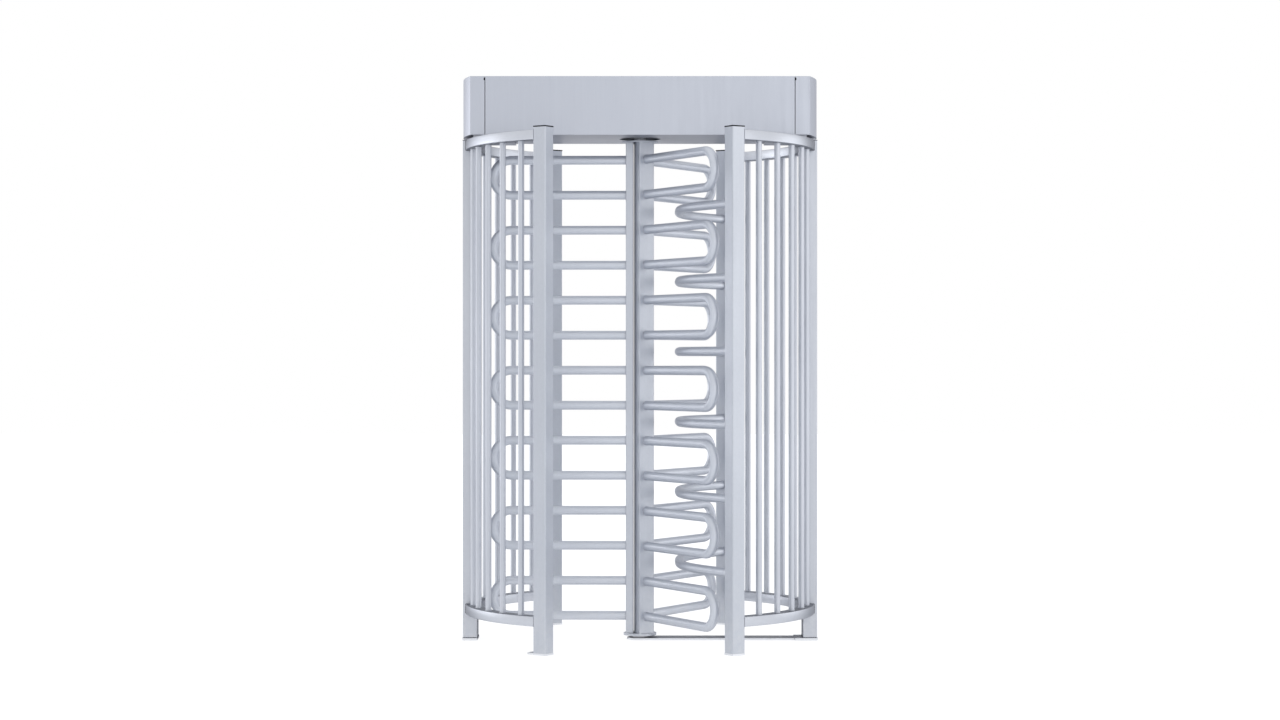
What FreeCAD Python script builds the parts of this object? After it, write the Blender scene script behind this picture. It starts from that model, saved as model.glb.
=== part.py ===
import FreeCAD, Part
import math
import os
import re

import Sketcher
from FreeCAD import Placement, Rotation, Vector

# Full height turnstile in millimetres, +Z up, origin on the floor under the rotor's axis.
# -Y is the front, the passage is on the -X side and the comb on the +X side.

doc = FreeCAD.newDocument("Turnstile")

cageSizes = {
    "cage_radius": 715,
    "post_size": 60,
    "post_wall": 3,
    "post_corner": 5,
    "post_rise": 10,
    "post_angle": 56.8,
    "comb_post_lag": 0.8,
    "post_foot_thick": 8,
    "foot_tab_width": 40,
    "foot_tab_length": 36,
    "foot_hole_inset": 18,
    "foot_hole_radius": 6.5,
    "cap_thick": 5,
    "cap_plug_depth": 12,
    "rail_height": 40,
    "lower_rail_bottom": 115,
    "upper_rail_top": 2127,
    "bar_radius": 12.5,
    "bars_per_bay": 5,
}
sidePostSizes = {
    "side_post_width": 60,
    "side_post_depth": 120,
    "side_post_corner": 3,
    "side_post_stand": 40,
    "side_foot_thick": 10,
    "side_foot_overhang": 11,
    "side_foot_margin": 2,
    "side_foot_toe": 35,
    "side_hole_radius": 7,
    "right_hole_inset": 17,
    "right_hole_margin": 26,
    "left_hole_margin": 25,
    "strip_width": 110,
    "strip_thick": 8,
    "strip_hole_near": 200,
    "strip_hole_inset": 60,
    "strip_hole_radius": 6,
}
combSizes = {
    "comb_tube_radius": 19,
    "comb_nose_centre": 168.5,
    "comb_bend_radius": 700,
    "comb_rise": 80,
}
rotorSizes = {
    "wing_clearance": 39,
    "loop_tube_radius": 19,
    "loop_bend_radius": 75,
    "loop_first_height": 100,
    "loop_pitch": 300,
    "upright_gap": 3,
    "upright_depth": 32,
    "upright_width": 70,
    "upright_wall": 3,
    "upright_corner": 3,
    "lower_flange_margin": 10,
    "lower_flange_thick": 10,
    "upper_flange_margin": 16,
    "upper_flange_thick": 6,
    "upper_flange_drop": 16,
    "shaft_radius": 25,
    "shaft_rise": 15,
    "shaft_chamfer": 2,
    "key_width": 14,
    "key_height": 9,
    "key_sunk": 5.5,
    "key_inset": 2,
    "key_top_gap": 0.3,
    "seat_clearance": 0.02,
}
pivotSizes = {
    "pivot_disc_margin": 9,
    "pivot_disc_thick": 8,
    "shaft_bore_wall": 5,
    "shaft_bore_relief": 2,
    "bush_wall": 5,
    "bush_length": 52,
    "spigot_relief": 2,
    "spigot_chamfer": 1,
    "running_clearance": 0.05,
    "washer_inset": 4,
    "washer_thick": 1.8,
    "washer_gap": 0.2,
}
headSizes = {
    "head_clear": 12,
    "head_height": 246,
    "head_half_depth": 228,
    "head_end_radius": 628,
    "end_cap_width": 103,
    "seam_gap": 3,
    "seam_notch_width": 4,
    "seam_notch_height": 10,
    "seam_notch_drop": 7,
    "cover_sheet": 2,
    "sheet_gap": 0.3,
    "tray_thick": 3,
    "tray_lip": 20,
    "lip_inset": 22,
    "opening_gap": 11,
    "head_plate_thick": 8,
    "head_plate_reach": 155,
    "head_plate_step": 5,
    "head_plate_margin": 7,
    "head_plate_inset": 13,
    "head_plate_nose": 14,
    "gland_bore": 8,
    "gland_thread_radius": 12,
    "gland_body_radius": 18,
    "gland_height": 24,
    "lid_inset": 17.5,
    "lid_lip": 15,
    "lid_step_gap": 1,
    "cover_flange_inset": 13.5,
    "bulkhead_inset": 15,
    "bulkhead_margin": 23,
    "bulkhead_thick": 6,
    "hinge_inset": 7,
    "hinge_pin_radius": 3,
    "hinge_pin_length": 12.5,
    "hinge_lug_radius": 4.5,
    "hinge_lug_rise": 1.5,
    "hinge_lug_drop": 9,
    "ear_gap": 3,
    "ear_inset": 32,
    "ear_lift": 11,
    "ear_shoulder_drop": 6,
    "beam_size": 40,
    "beam_wall": 3,
    "beam_inset": 78,
}
driveSizes = {
    "plate_thick": 10,
    "plate_left": 150,
    "plate_margin": 75,
    "plate_overhang": 20,
    "plate_opening_gap": 20,
    "housing_flange_reach": 20,
    "housing_flange_thick": 12,
    "housing_wall": 12,
    "housing_rim": 6,
    "housing_lip": 8,
    "housing_lip_reach": 6,
    "bearing_inner_wall": 5,
    "bearing_race_gap": 6,
    "bearing_outer_wall": 4,
    "bearing_width": 16,
    "seal_thick": 1,
    "seal_recess": 0.5,
    "gear_module": 6,
    "gear_teeth": 38,
    "pinion_teeth": 17,
    "pressure_angle": 20,
    "tooth_thinning": 0.2,
    "gear_rise": 60,
    "gear_width": 20,
    "gear_hub_wall": 15,
    "gear_hub_overhang": 8,
    "gear_web": 10,
    "gear_rim": 10,
    "pinion_overhang": 2,
    "pinion_shaft_radius": 10,
    "pinion_gap": 12,
    "pinion_grip": 10,
    "pinion_end_gap": 6,
    "motor_radius": 50,
    "motor_flange_radius": 56,
    "motor_flange_thick": 12,
    "motor_boss_radius": 22,
    "motor_boss_height": 8,
    "disc_radius": 95,
    "disc_thick": 8,
    "disc_rise": 58,
    "disc_hub_wall": 13,
    "disc_hub_height": 22,
    "slot_count": 12,
    "slot_clearance": 0.3,
    "slot_end_gap": 0.5,
    "bolt_radius": 8,
    "bolt_gap": 2,
    "bolt_travel": 12,
    "bolt_chamfer": 1,
    "bolt_bore_gap": 1,
    "lock_gap": 25,
    "lock_margin": 38,
    "lock_back_wall": 9,
    "lock_half_width": 30,
    "lock_rise": 26,
    "control_inset": 77,
    "control_width": 240,
    "control_gap": 30,
    "control_height": 80,
    "control_cover": 10,
    "control_overhang": 3,
    "supply_inset": 85,
    "supply_width": 190,
    "supply_half_depth": 60,
    "supply_height": 55,
}
sizes = {
    **cageSizes,
    **sidePostSizes,
    **combSizes,
    **rotorSizes,
    **pivotSizes,
    **headSizes,
    **driveSizes,
}

# The loops turn back through half a circle and the comb legs through a small turn.
# Each bend is drawn as a chain of short straight runs that touch its arc.
loopBendRuns = 6
combBendRuns = 3

# Wing directions about the rotor's axis, in degrees from +X.
wingAngles = {"left": 179, "front": -61, "rear": 59}

# The posts that carry the comb stand a little further round than the left ones.
sideAngles = {"left": "post_angle", "right": "(post_angle + comb_post_lag)"}
postAngles = {
    "front_left": f"180 + {sideAngles['left']}",
    "rear_left": f"180 - {sideAngles['left']}",
    "front_right": f"0 - {sideAngles['right']}",
    "rear_right": f"{sideAngles['right']}",
}

# Places along X, from the rotor's axis.
sideOuter = "(cage_radius + side_post_stand)"
sideInner = f"({sideOuter} - side_post_width)"
sideMiddle = f"({sideOuter} - side_post_width / 2)"
toeEnd = f"({sideInner} - side_foot_toe)"
seam = f"({sideOuter} - end_cap_width)"
bulkheadInner = f"({seam} - bulkhead_inset)"
lipHalf = f"({seam} - lip_inset)"
loopReach = "(cage_radius - post_size / 2 - wing_clearance)"
gearCentres = "(gear_module * (gear_teeth + pinion_teeth) / 2)"

# Depths from the middle plane.
sheetFace = "(head_half_depth - cover_sheet)"
hingeDepth = "(head_half_depth - hinge_inset)"
flangeEdge = "(head_half_depth - cover_flange_inset)"
beamPlace = "(head_half_depth - beam_inset)"
boltNose = "(disc_radius + bolt_gap)"
lockFront = "(disc_radius + lock_gap)"
lockRear = "(head_half_depth - lock_margin)"
lockBoreEnd = f"({lockRear} - lock_back_wall)"
boltLength = f"({lockBoreEnd} - bolt_bore_gap - {boltNose})"

# Radii of the pieces on the rotor's axis.
uprightFace = "(shaft_radius + upright_gap + upright_depth)"
keyFoot = "(shaft_radius - key_sunk)"
keywayTop = f"({keyFoot} + key_height + key_top_gap)"
shaftSeat = "(shaft_radius + seat_clearance)"
bushRadius = "(shaft_radius - shaft_bore_wall)"
spigotRadius = f"({bushRadius} - bush_wall)"
pivotRadius = "(shaft_radius + pivot_disc_margin)"
lowerFlangeRadius = f"({uprightFace} + lower_flange_margin)"
upperFlangeRadius = f"({uprightFace} + upper_flange_margin)"
innerRingRadius = "(shaft_radius + bearing_inner_wall)"
outerRingBore = f"({innerRingRadius} + bearing_race_gap)"
bearingRadius = f"({outerRingBore} + bearing_outer_wall)"
housingRadius = f"({bearingRadius} + housing_wall)"
housingLipRadius = f"({bearingRadius} - housing_lip_reach)"

# Heights from the floor.
postTop = "(upper_rail_top + post_rise)"
pivotTop = "(strip_thick + pivot_disc_thick)"
lowerFlange = f"({pivotTop} + washer_thick + washer_gap)"
bushTop = f"({lowerFlange} + bush_length)"
spigotTop = f"({bushTop} - spigot_relief)"
headBottom = "(upper_rail_top + head_clear)"
headTop = f"({headBottom} + head_height)"
upperFlange = f"({headBottom} - upper_flange_drop)"
hingeHeight = f"({headTop} - hinge_inset)"
lidBottom = f"({headTop} - cover_sheet)"
trayTop = f"({headBottom} + tray_thick)"
plateBottom = f"({trayTop} + beam_size)"
plateTop = f"({plateBottom} + plate_thick)"
bearingBottom = f"({plateTop} + housing_lip)"
bearingTop = f"({bearingBottom} + bearing_width)"
discMiddle = f"({plateTop} + disc_rise)"
discBottom = f"({discMiddle} - disc_thick / 2)"
gearBottom = f"({discMiddle} + gear_rise)"
pinionBottom = f"({gearBottom} - pinion_overhang)"
bossTop = f"({pinionBottom} - pinion_gap)"
shaftTop = f"({gearBottom} + gear_width + shaft_rise)"

# The lock disc's hub and the drive gear's hub, from bottom to top. A key sits in each.
hubSpans = {
    "disc": (discBottom, f"({discBottom} + disc_hub_height)"),
    "gear": (f"({gearBottom} - gear_hub_overhang)", f"({gearBottom} + gear_width)"),
}

# As many loops as fit under the upper flange, and a comb bar through each gap between them.
loopTop = "(loop_first_height + 2 * loop_bend_radius)"
loopCount = f"(1 + floor(({upperFlange} - {loopTop} - loop_tube_radius) / loop_pitch))"
combFirst = f"({loopTop} + comb_rise)"
combCount = f"({loopCount} - 1)"

nodes = []


def makeSheet():
    sheet = doc.addObject("Spreadsheet::Sheet", "Sizes")
    for row, (name, number) in enumerate(sizes.items(), start=1):
        sheet.set(f"A{row}", name)
        sheet.set(f"B{row}", str(number))
        sheet.setAlias(f"B{row}", name)
    doc.recompute()
    return sheet


def makeGauge():
    gauge = doc.addObject("App::FeaturePython", "Gauge")
    gauge.addProperty("App::PropertyFloat", "reading")
    return gauge


sheet = makeSheet()
gauge = makeGauge()


def rule(text):
    # A rule is written with bare size names, which point at the sheet here.
    return re.sub(r"[a-z_]+", lambda word: f"Sizes.{word[0]}" if word[0] in sizes else word[0], text)


def measure(text):
    # The number that a rule gives now, read from the gauge.
    gauge.setExpression("reading", rule(text))
    gauge.recompute()
    return gauge.reading


def size(name):
    return float(sheet.get(name))


def keep(shape, label):
    shape.Label = label
    nodes.append(shape)
    return shape


def bind(item, **rules):
    for name, text in rules.items():
        item.setExpression(name, rule(text))


def place(item, x="0", y="0", z="0", turn="0", axis=Vector(0, 0, 1)):
    item.Placement = Placement(Vector(), Rotation(axis, 1))
    item.setExpression("Placement.Base.x", rule(x))
    item.setExpression("Placement.Base.y", rule(y))
    item.setExpression("Placement.Base.z", rule(z))
    item.setExpression("Placement.Rotation.Angle", rule(turn))
    return item


def placeOnCircle(item, radius, turn):
    return place(item, f"({radius}) * cos({turn})", f"({radius}) * sin({turn})", "0", turn)


# Part primitives and booleans


def block(label, low, high):
    # A box between two corners, each given by three rules.
    box = doc.addObject("Part::Box", label)
    for name, start, end in zip(("Length", "Width", "Height"), low, high):
        box.setExpression(name, rule(f"({end}) - ({start})"))
    for axis, start in zip("xyz", low):
        box.setExpression(f"Placement.Base.{axis}", rule(start))
    return box


def cut(label, base, tool):
    result = doc.addObject("Part::Cut", label)
    result.Base = base
    result.Tool = tool
    return result


def join(label, shapes):
    result = doc.addObject("Part::MultiFuse", label)
    result.Shapes = shapes
    return result


def group(label, shapes):
    result = doc.addObject("Part::Compound", label)
    result.Links = shapes
    return result


def mirror(label, source, normal):
    result = doc.addObject("Part::Mirroring", label)
    result.Source = source
    result.Normal = normal
    return result


# Bodies, sketches and features


def newBody(label):
    body = doc.addObject("PartDesign::Body", label)
    body.AllowCompound = True
    return body


def originPart(body, role):
    return [part for part in body.Origin.OriginFeatures if part.Role == role][0]


def sketchOn(body, label, role, offset="0"):
    sketch = body.newObject("Sketcher::SketchObject", label)
    sketch.AttachmentSupport = [(originPart(body, role), "")]
    sketch.MapMode = "FlatFace"
    sketch.setExpression("AttachmentOffset.Base.z", rule(offset))
    return sketch


def pinPoint(sketch, edge, end, corner):
    for kind, text in zip(("DistanceX", "DistanceY"), corner):
        index = sketch.addConstraint(Sketcher.Constraint(kind, -1, 1, edge, end, measure(text)))
        sketch.setExpression(f"Constraints[{index}]", rule(text))


def pinRadius(sketch, edge, text):
    index = sketch.addConstraint(Sketcher.Constraint("Radius", edge, measure(text)))
    sketch.setExpression(f"Constraints[{index}]", rule(text))


def arcBetween(start, end, radius):
    # The short arc that runs anticlockwise from start to end.
    chord = end - start
    reach = math.sqrt(max(radius**2 - chord.Length**2 / 4, 0))
    across = Vector(-chord.y, chord.x, 0).normalize()
    centre = (start + end) * 0.5 + across * reach
    first = math.atan2(start.y - centre.y, start.x - centre.x)
    last = math.atan2(end.y - centre.y, end.x - centre.x)
    return Part.ArcOfCircle(Part.Circle(centre, Vector(0, 0, 1), radius), first, last)


def outline(sketch, corners, arcs=None):
    # A closed outline. arcs maps an edge's number to its radius rule and its hand:
    # True where the arc runs anticlockwise along the outline.
    arcs = arcs or {}
    first = sketch.GeometryCount
    places = [Vector(measure(x), measure(y), 0) for x, y in corners]
    starts = []
    ends = []
    for number, start in enumerate(places):
        end = places[(number + 1) % len(places)]
        if number not in arcs:
            sketch.addGeometry(Part.LineSegment(start, end), False)
            starts.append(1)
            ends.append(2)
            continue
        radius, anticlockwise = arcs[number]
        nearEnd, farEnd = (start, end) if anticlockwise else (end, start)
        sketch.addGeometry(arcBetween(nearEnd, farEnd, measure(radius)), False)
        starts.append(1 if anticlockwise else 2)
        ends.append(2 if anticlockwise else 1)
    for number, corner in enumerate(corners):
        after = (number + 1) % len(corners)
        pinPoint(sketch, first + number, starts[number], corner)
        sketch.addConstraint(
            Sketcher.Constraint("Coincident", first + number, ends[number], first + after, starts[after])
        )
        if number in arcs:
            pinRadius(sketch, first + number, arcs[number][0])


def rectangle(sketch, left, right, low, high):
    outline(sketch, [(left, low), (right, low), (right, high), (left, high)])


def roundedRectangle(sketch, left, right, low, high, radius):
    corners = [
        (f"{left} + {radius}", low),
        (f"{right} - {radius}", low),
        (right, f"{low} + {radius}"),
        (right, f"{high} - {radius}"),
        (f"{right} - {radius}", high),
        (f"{left} + {radius}", high),
        (left, f"{high} - {radius}"),
        (left, f"{low} + {radius}"),
    ]
    outline(sketch, corners, {number: (radius, True) for number in (1, 3, 5, 7)})


def hole(sketch, x, y, radius):
    circle = Part.Circle(Vector(measure(x), measure(y), 0), Vector(0, 0, 1), measure(radius))
    edge = sketch.addGeometry(circle, False)
    pinPoint(sketch, edge, 3, (x, y))
    pinRadius(sketch, edge, radius)


def pad(body, sketch, length, symmetric=False):
    feature = body.newObject("PartDesign::Pad", f"{sketch.Name}_pad")
    feature.Profile = sketch
    feature.setExpression("Length", rule(length))
    if symmetric:
        feature.Midplane = True
    body.Tip = feature
    return feature


def throughPocket(body, sketch):
    feature = body.newObject("PartDesign::Pocket", f"{sketch.Name}_pocket")
    feature.Profile = sketch
    feature.Type = "ThroughAll"
    feature.Midplane = True
    body.Tip = feature
    return feature


def mirrorFeature(body, feature, role):
    copy = body.newObject("PartDesign::Mirrored", f"{feature.Name}_mirrored")
    copy.Originals = [feature]
    copy.MirrorPlane = (originPart(body, role), [""])
    body.Tip = copy
    return copy


def pocketAhead(body, sketch, depth):
    # A pocket on the side that the sketch faces.
    feature = body.newObject("PartDesign::Pocket", f"{sketch.Name}_pocket")
    feature.Profile = sketch
    feature.Reversed = True
    feature.setExpression("Length", rule(depth))
    body.Tip = feature
    return feature


def polarCopies(body, feature, angle, count):
    copies = body.newObject("PartDesign::PolarPattern", f"{feature.Name}_ring")
    copies.Originals = [feature]
    copies.Axis = (originPart(body, "Z_Axis"), [""])
    copies.setExpression("Angle", rule(angle))
    copies.setExpression("Occurrences", rule(count))
    body.Tip = copies
    return copies


def lathe(label, corners):
    # A turned piece: its half section in radius and height, revolved about the Z axis.
    body = newBody(label)
    sketch = sketchOn(body, f"{label}_section", "XZ_Plane")
    outline(sketch, corners)
    feature = body.newObject("PartDesign::Revolution", f"{label}_turned")
    feature.Profile = sketch
    feature.ReferenceAxis = (originPart(body, "Z_Axis"), [""])
    feature.Angle = 360
    body.Tip = feature
    return body


def ring(label, inner, outer, bottom, top):
    return lathe(label, [(inner, bottom), (outer, bottom), (outer, top), (inner, top)])


def slab(label, corners, bottom, thickness, arcs=None):
    # A flat plate with a drawn outline.
    body = newBody(label)
    sketch = sketchOn(body, f"{label}_outline", "XY_Plane", bottom)
    outline(sketch, corners, arcs)
    pad(body, sketch, thickness)
    return body


def squareTube(label, left, right, low, high, wall, corner, bottom, top):
    body = newBody(label)
    sketch = sketchOn(body, f"{label}_section", "XY_Plane", bottom)
    roundedRectangle(sketch, left, right, low, high, corner)
    rectangle(sketch, f"{left} + {wall}", f"{right} - {wall}", f"{low} + {wall}", f"{high} - {wall}")
    pad(body, sketch, f"{top} - ({bottom})")
    return body


def bendCorners(centre, radius, first, turn, runs):
    # Corners of a chain of straight runs that touch an arc, from its first angle through its turn.
    step = f"({turn}) / {runs}"
    reach = f"{radius} / cos({step} / 2)"
    angles = [f"({first} + {number + 0.5} * {step})" for number in range(runs)]
    x, y = centre
    return [(f"{x} + {reach} * cos{angle}", f"{y} + {reach} * sin{angle}") for angle in angles]


def openPath(sketch, route):
    places = [Vector(measure(x), measure(y), 0) for x, y in route]
    for number in range(len(places) - 1):
        sketch.addGeometry(Part.LineSegment(places[number], places[number + 1]), False)
        pinPoint(sketch, number, 1, route[number])
        if number:
            sketch.addConstraint(Sketcher.Constraint("Coincident", number - 1, 2, number, 1))
    pinPoint(sketch, len(places) - 2, 2, route[-1])
    return [f"Edge{number + 1}" for number in range(len(places) - 1)]


def tubeAlong(body, profile, path, edges):
    doc.recompute()
    feature = body.newObject("PartDesign::AdditivePipe", f"{path.Name}_tube")
    feature.Profile = profile
    feature.Spine = (path, edges)
    feature.Transition = "Right corner"
    body.Tip = feature
    return feature


# Cage: posts, feet, caps, rails and bars


def cagePost(corner):
    half = "post_size / 2"
    post = squareTube(
        f"{corner}_post", f"0 - {half}", half, f"0 - {half}", half,
        "post_wall", "post_corner", "post_foot_thick", postTop,
    )  # fmt: skip
    placeOnCircle(post, "cage_radius", postAngles[corner])
    keep(post, f"{corner}_post")


def postFoot(corner):
    # The left feet carry a tab along the rails' line, away from the passage.
    side = {"front_left": "-1", "rear_left": "1"}.get(corner)
    half = "post_size / 2"
    foot = slab(
        f"{corner}_foot",
        [(f"0 - {half}", f"0 - {half}"), (half, f"0 - {half}"), (half, half), (f"0 - {half}", half)],
        "0",
        "post_foot_thick",
    )
    if side:
        tab = sketchOn(foot, f"{corner}_foot_tab", "XY_Plane")
        width = "foot_tab_width / 2"
        rows = [f"{side} * ({half} - post_corner)", f"{side} * ({half} + foot_tab_length)"]
        low, high = rows if side == "1" else rows[::-1]
        rectangle(tab, f"0 - {width}", width, low, high)
        pad(foot, tab, "post_foot_thick")
    drilled = sketchOn(foot, f"{corner}_foot_hole", "XY_Plane")
    drilledPlace = f"{side} * ({half} + foot_tab_length - foot_hole_inset)" if side else "0"
    hole(drilled, "0", drilledPlace, "foot_hole_radius")
    throughPocket(foot, drilled)
    return placeOnCircle(foot, "cage_radius", postAngles[corner])


def postCap(corner):
    half = "post_size / 2"
    bore = f"({half} - post_wall - sheet_gap)"
    cap = slab(
        f"{corner}_cap",
        [(f"0 - {half}", f"0 - {half}"), (half, f"0 - {half}"), (half, half), (f"0 - {half}", half)],
        postTop,
        "cap_thick",
    )
    plug = sketchOn(cap, f"{corner}_cap_plug", "XY_Plane", f"{postTop} - cap_plug_depth")
    rectangle(plug, f"0 - {bore}", bore, f"0 - {bore}", bore)
    pad(cap, plug, "cap_plug_depth")
    return placeOnCircle(cap, "cage_radius", postAngles[corner])


def railOutline(angle):
    # From the side post's face to the cage post's face, in the +X +Y quarter.
    inner = "(cage_radius - post_size / 2)"
    outer = "(cage_radius + post_size / 2)"
    face = "(side_post_depth / 2)"
    half = "(post_size / 2)"

    def atSidePost(radius):
        return (f"sqrt({radius} ^ 2 - {face} ^ 2)", face)

    def atCagePost(radius):
        along = f"sqrt({radius} ^ 2 - {half} ^ 2)"
        x = f"{along} * cos({angle}) + {half} * sin({angle})"
        y = f"{along} * sin({angle}) - {half} * cos({angle})"
        return (x, y)

    corners = [atSidePost(inner), atSidePost(outer), atCagePost(outer), atCagePost(inner)]
    return corners, {1: (outer, True), 3: (inner, False)}


def rails(side):
    # Each side has a rail drawn in one quarter and its mirror image across the middle plane.
    drawn, copied = ("front_left", "rear_left") if side == "left" else ("rear_right", "front_right")
    corners, arcs = railOutline(sideAngles[side])
    heights = {"lower": "lower_rail_bottom", "upper": "upper_rail_top - rail_height"}
    for level, bottom in heights.items():
        name = f"{level}_rail_{drawn}"
        rail = slab(name, corners, bottom, "rail_height", arcs)
        place(rail, turn="180" if side == "left" else "0")
        keep(rail, name)
        name = f"{level}_rail_{copied}"
        keep(mirror(name, rail, Vector(0, 1, 0)), name)


def cageBars(side):
    # The bars share the turn from the side post's middle to the left cage post's evenly.
    drawn, copied = ("front_left", "rear_left") if side == "left" else ("rear_right", "front_right")
    pitch = "(post_angle / (bars_per_bay + 1))"
    name = f"cage_bars_{drawn}"
    body = newBody(name)
    sketch = sketchOn(body, f"{name}_circle", "XY_Plane", "lower_rail_bottom + rail_height")
    hole(sketch, f"cage_radius * cos{pitch}", f"cage_radius * sin{pitch}", "bar_radius")
    bar = pad(body, sketch, "upper_rail_top - 2 * rail_height - lower_rail_bottom")
    doc.recompute()
    polarCopies(body, bar, f"{pitch} * (bars_per_bay - 1)", "bars_per_bay")
    place(body, turn="180" if side == "left" else "0")
    keep(body, name)
    name = f"cage_bars_{copied}"
    keep(mirror(name, body, Vector(0, 1, 0)), name)


def makeCage():
    for corner in postAngles:
        cagePost(corner)
    keep(group("post_feet", [postFoot(corner) for corner in postAngles]), "post_feet")
    keep(group("post_caps", [postCap(corner) for corner in postAngles]), "post_caps")
    for side in ("left", "right"):
        rails(side)
        cageBars(side)


# Side posts, their feet and the floor strip


def sidePost(side):
    left, right = (f"0 - {sideOuter}", f"0 - {sideInner}") if side == "left" else (sideInner, sideOuter)
    half = "side_post_depth / 2"
    post = squareTube(
        f"side_post_{side}", left, right, f"0 - {half}", half,
        "post_wall", "side_post_corner", "side_foot_thick", f"{headBottom} - head_plate_thick",
    )  # fmt: skip
    keep(post, f"side_post_{side}")


def sideFoot(side):
    # The right foot has a toe towards the strip, the left one keeps the passage clear.
    outer = f"({sideOuter} + side_foot_margin)"
    inner = f"({sideInner} - side_foot_margin)"
    half = "(side_post_depth / 2 + side_foot_overhang)"
    left, right = (f"0 - {outer}", f"0 - {inner}") if side == "left" else (toeEnd, outer)
    corners = [(left, f"0 - {half}"), (right, f"0 - {half}"), (right, half), (left, half)]
    foot = slab(f"side_foot_{side}", corners, "0", "side_foot_thick")
    drilled = sketchOn(foot, f"side_foot_{side}_holes", "XY_Plane")
    across = f"({half} - right_hole_margin)"
    along = f"{toeEnd} + right_hole_inset"
    if side == "left":
        across = "(side_post_depth / 2 - left_hole_margin)"
        along = f"0 - {sideMiddle}"
    for sign in ("-1", "1"):
        hole(drilled, along, f"{sign} * {across}", "side_hole_radius")
    throughPocket(foot, drilled)
    return foot


def floorStrip():
    half = "(strip_width / 2)"
    corners = [
        ("0", f"0 - {half}"),
        (toeEnd, f"0 - {half}"),
        (toeEnd, half),
        ("0", half),
        (f"0 - {half}", "0"),
    ]
    arcs = {3: (half, True), 4: (half, True)}
    strip = slab("floor_strip", corners, "0", "strip_thick", arcs)
    drilled = sketchOn(strip, "floor_strip_holes", "XY_Plane")
    for x in ("strip_hole_near", f"{toeEnd} - strip_hole_inset"):
        hole(drilled, x, "0", "strip_hole_radius")
    throughPocket(strip, drilled)
    keep(strip, "floor_strip")


def makeSides():
    for side in ("left", "right"):
        sidePost(side)
    keep(group("side_post_feet", [sideFoot(side) for side in ("left", "right")]), "side_post_feet")
    floorStrip()


# Comb: bent tubes from the right cage posts round a nose near the column


def combBars():
    # Half of each bar is drawn, from the middle of its nose to the rear post's inner face.
    angle = sideAngles["right"]
    turn = f"(90 - {angle})"
    straight = f"comb_nose_centre * tan{angle} - comb_bend_radius * tan({turn} / 2)"
    centre = ("comb_nose_centre + comb_bend_radius", straight)
    corners = bendCorners(centre, "comb_bend_radius", "180", f"0 - {turn}", combBendRuns)
    foot = "(cage_radius - post_size / 2)"
    end = (f"{foot} * cos{angle}", f"{foot} * sin{angle}")
    body = newBody("comb_bars")
    path = sketchOn(body, "comb_path", "XY_Plane", combFirst)
    edges = openPath(path, [("comb_nose_centre", "0"), *corners, end])
    profile = sketchOn(body, "comb_section", "XZ_Plane")
    hole(profile, "comb_nose_centre", combFirst, "comb_tube_radius")
    half = tubeAlong(body, profile, path, edges)
    doc.recompute()
    copies = body.newObject("PartDesign::MultiTransform", "comb_copies")
    copies.Originals = [half]
    other = body.newObject("PartDesign::Mirrored", "comb_other_half")
    other.MirrorPlane = (originPart(body, "XZ_Plane"), [""])
    levels = body.newObject("PartDesign::LinearPattern", "comb_levels")
    levels.Direction = (originPart(body, "Z_Axis"), [""])
    bind(levels, Length=f"loop_pitch * ({combCount} - 1)", Occurrences=combCount)
    copies.Transformations = [other, levels]
    body.Tip = copies
    keep(body, "comb_bars")


# Rotor: shaft, flanges, uprights and three wings of tube loops


def rotorShaft():
    boreTop = f"{bushTop} + shaft_bore_relief"
    shaft = lathe(
        "rotor_shaft",
        [
            (bushRadius, lowerFlange),
            ("shaft_radius", lowerFlange),
            ("shaft_radius", f"{shaftTop} - shaft_chamfer"),
            ("shaft_radius - shaft_chamfer", shaftTop),
            ("0", shaftTop),
            ("0", boreTop),
            (bushRadius, boreTop),
        ],
    )
    doc.recompute()
    keyways = sketchOn(shaft, "shaft_keyways", "YZ_Plane", keyFoot)
    for span in hubSpans.values():
        keyOutline(keyways, span, "seat_clearance")
    pocketAhead(shaft, keyways, "key_sunk")
    keep(shaft, "rotor_shaft")


def keyOutline(sketch, span, gap):
    # Long sides along Z and round ends, a little inside the hub.
    half = f"(key_width / 2 + {gap})"
    low = f"({span[0]} + key_inset - {gap})"
    high = f"({span[1]} - key_inset + {gap})"
    corners = [
        ("0", low),
        (half, f"{low} + {half}"),
        (half, f"{high} - {half}"),
        ("0", high),
        (f"0 - {half}", f"{high} - {half}"),
        (f"0 - {half}", f"{low} + {half}"),
    ]
    outline(sketch, corners, {number: (half, True) for number in (0, 2, 3, 5)})


def shaftKeys():
    keys = []
    for name, span in hubSpans.items():
        key = newBody(f"{name}_key")
        sketch = sketchOn(key, f"{name}_key_outline", "YZ_Plane", keyFoot)
        keyOutline(sketch, span, "0")
        pad(key, sketch, "key_height")
        keys.append(key)
    keep(group("shaft_keys", keys), "shaft_keys")


def rotorFlanges():
    lowerTop = f"{lowerFlange} + lower_flange_thick"
    keep(ring("bottom_flange", shaftSeat, lowerFlangeRadius, lowerFlange, lowerTop), "bottom_flange")
    upperTop = f"{upperFlange} + upper_flange_thick"
    keep(ring("top_flange", shaftSeat, upperFlangeRadius, upperFlange, upperTop), "top_flange")


def upright(wing):
    name = f"upright_{wing}"
    half = "upright_width / 2"
    tube = squareTube(
        name, f"{uprightFace} - upright_depth", uprightFace, f"0 - {half}", half,
        "upright_wall", "upright_corner", f"{lowerFlange} + lower_flange_thick", upperFlange,
    )  # fmt: skip
    keep(place(tube, turn=str(wingAngles[wing])), name)


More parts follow.
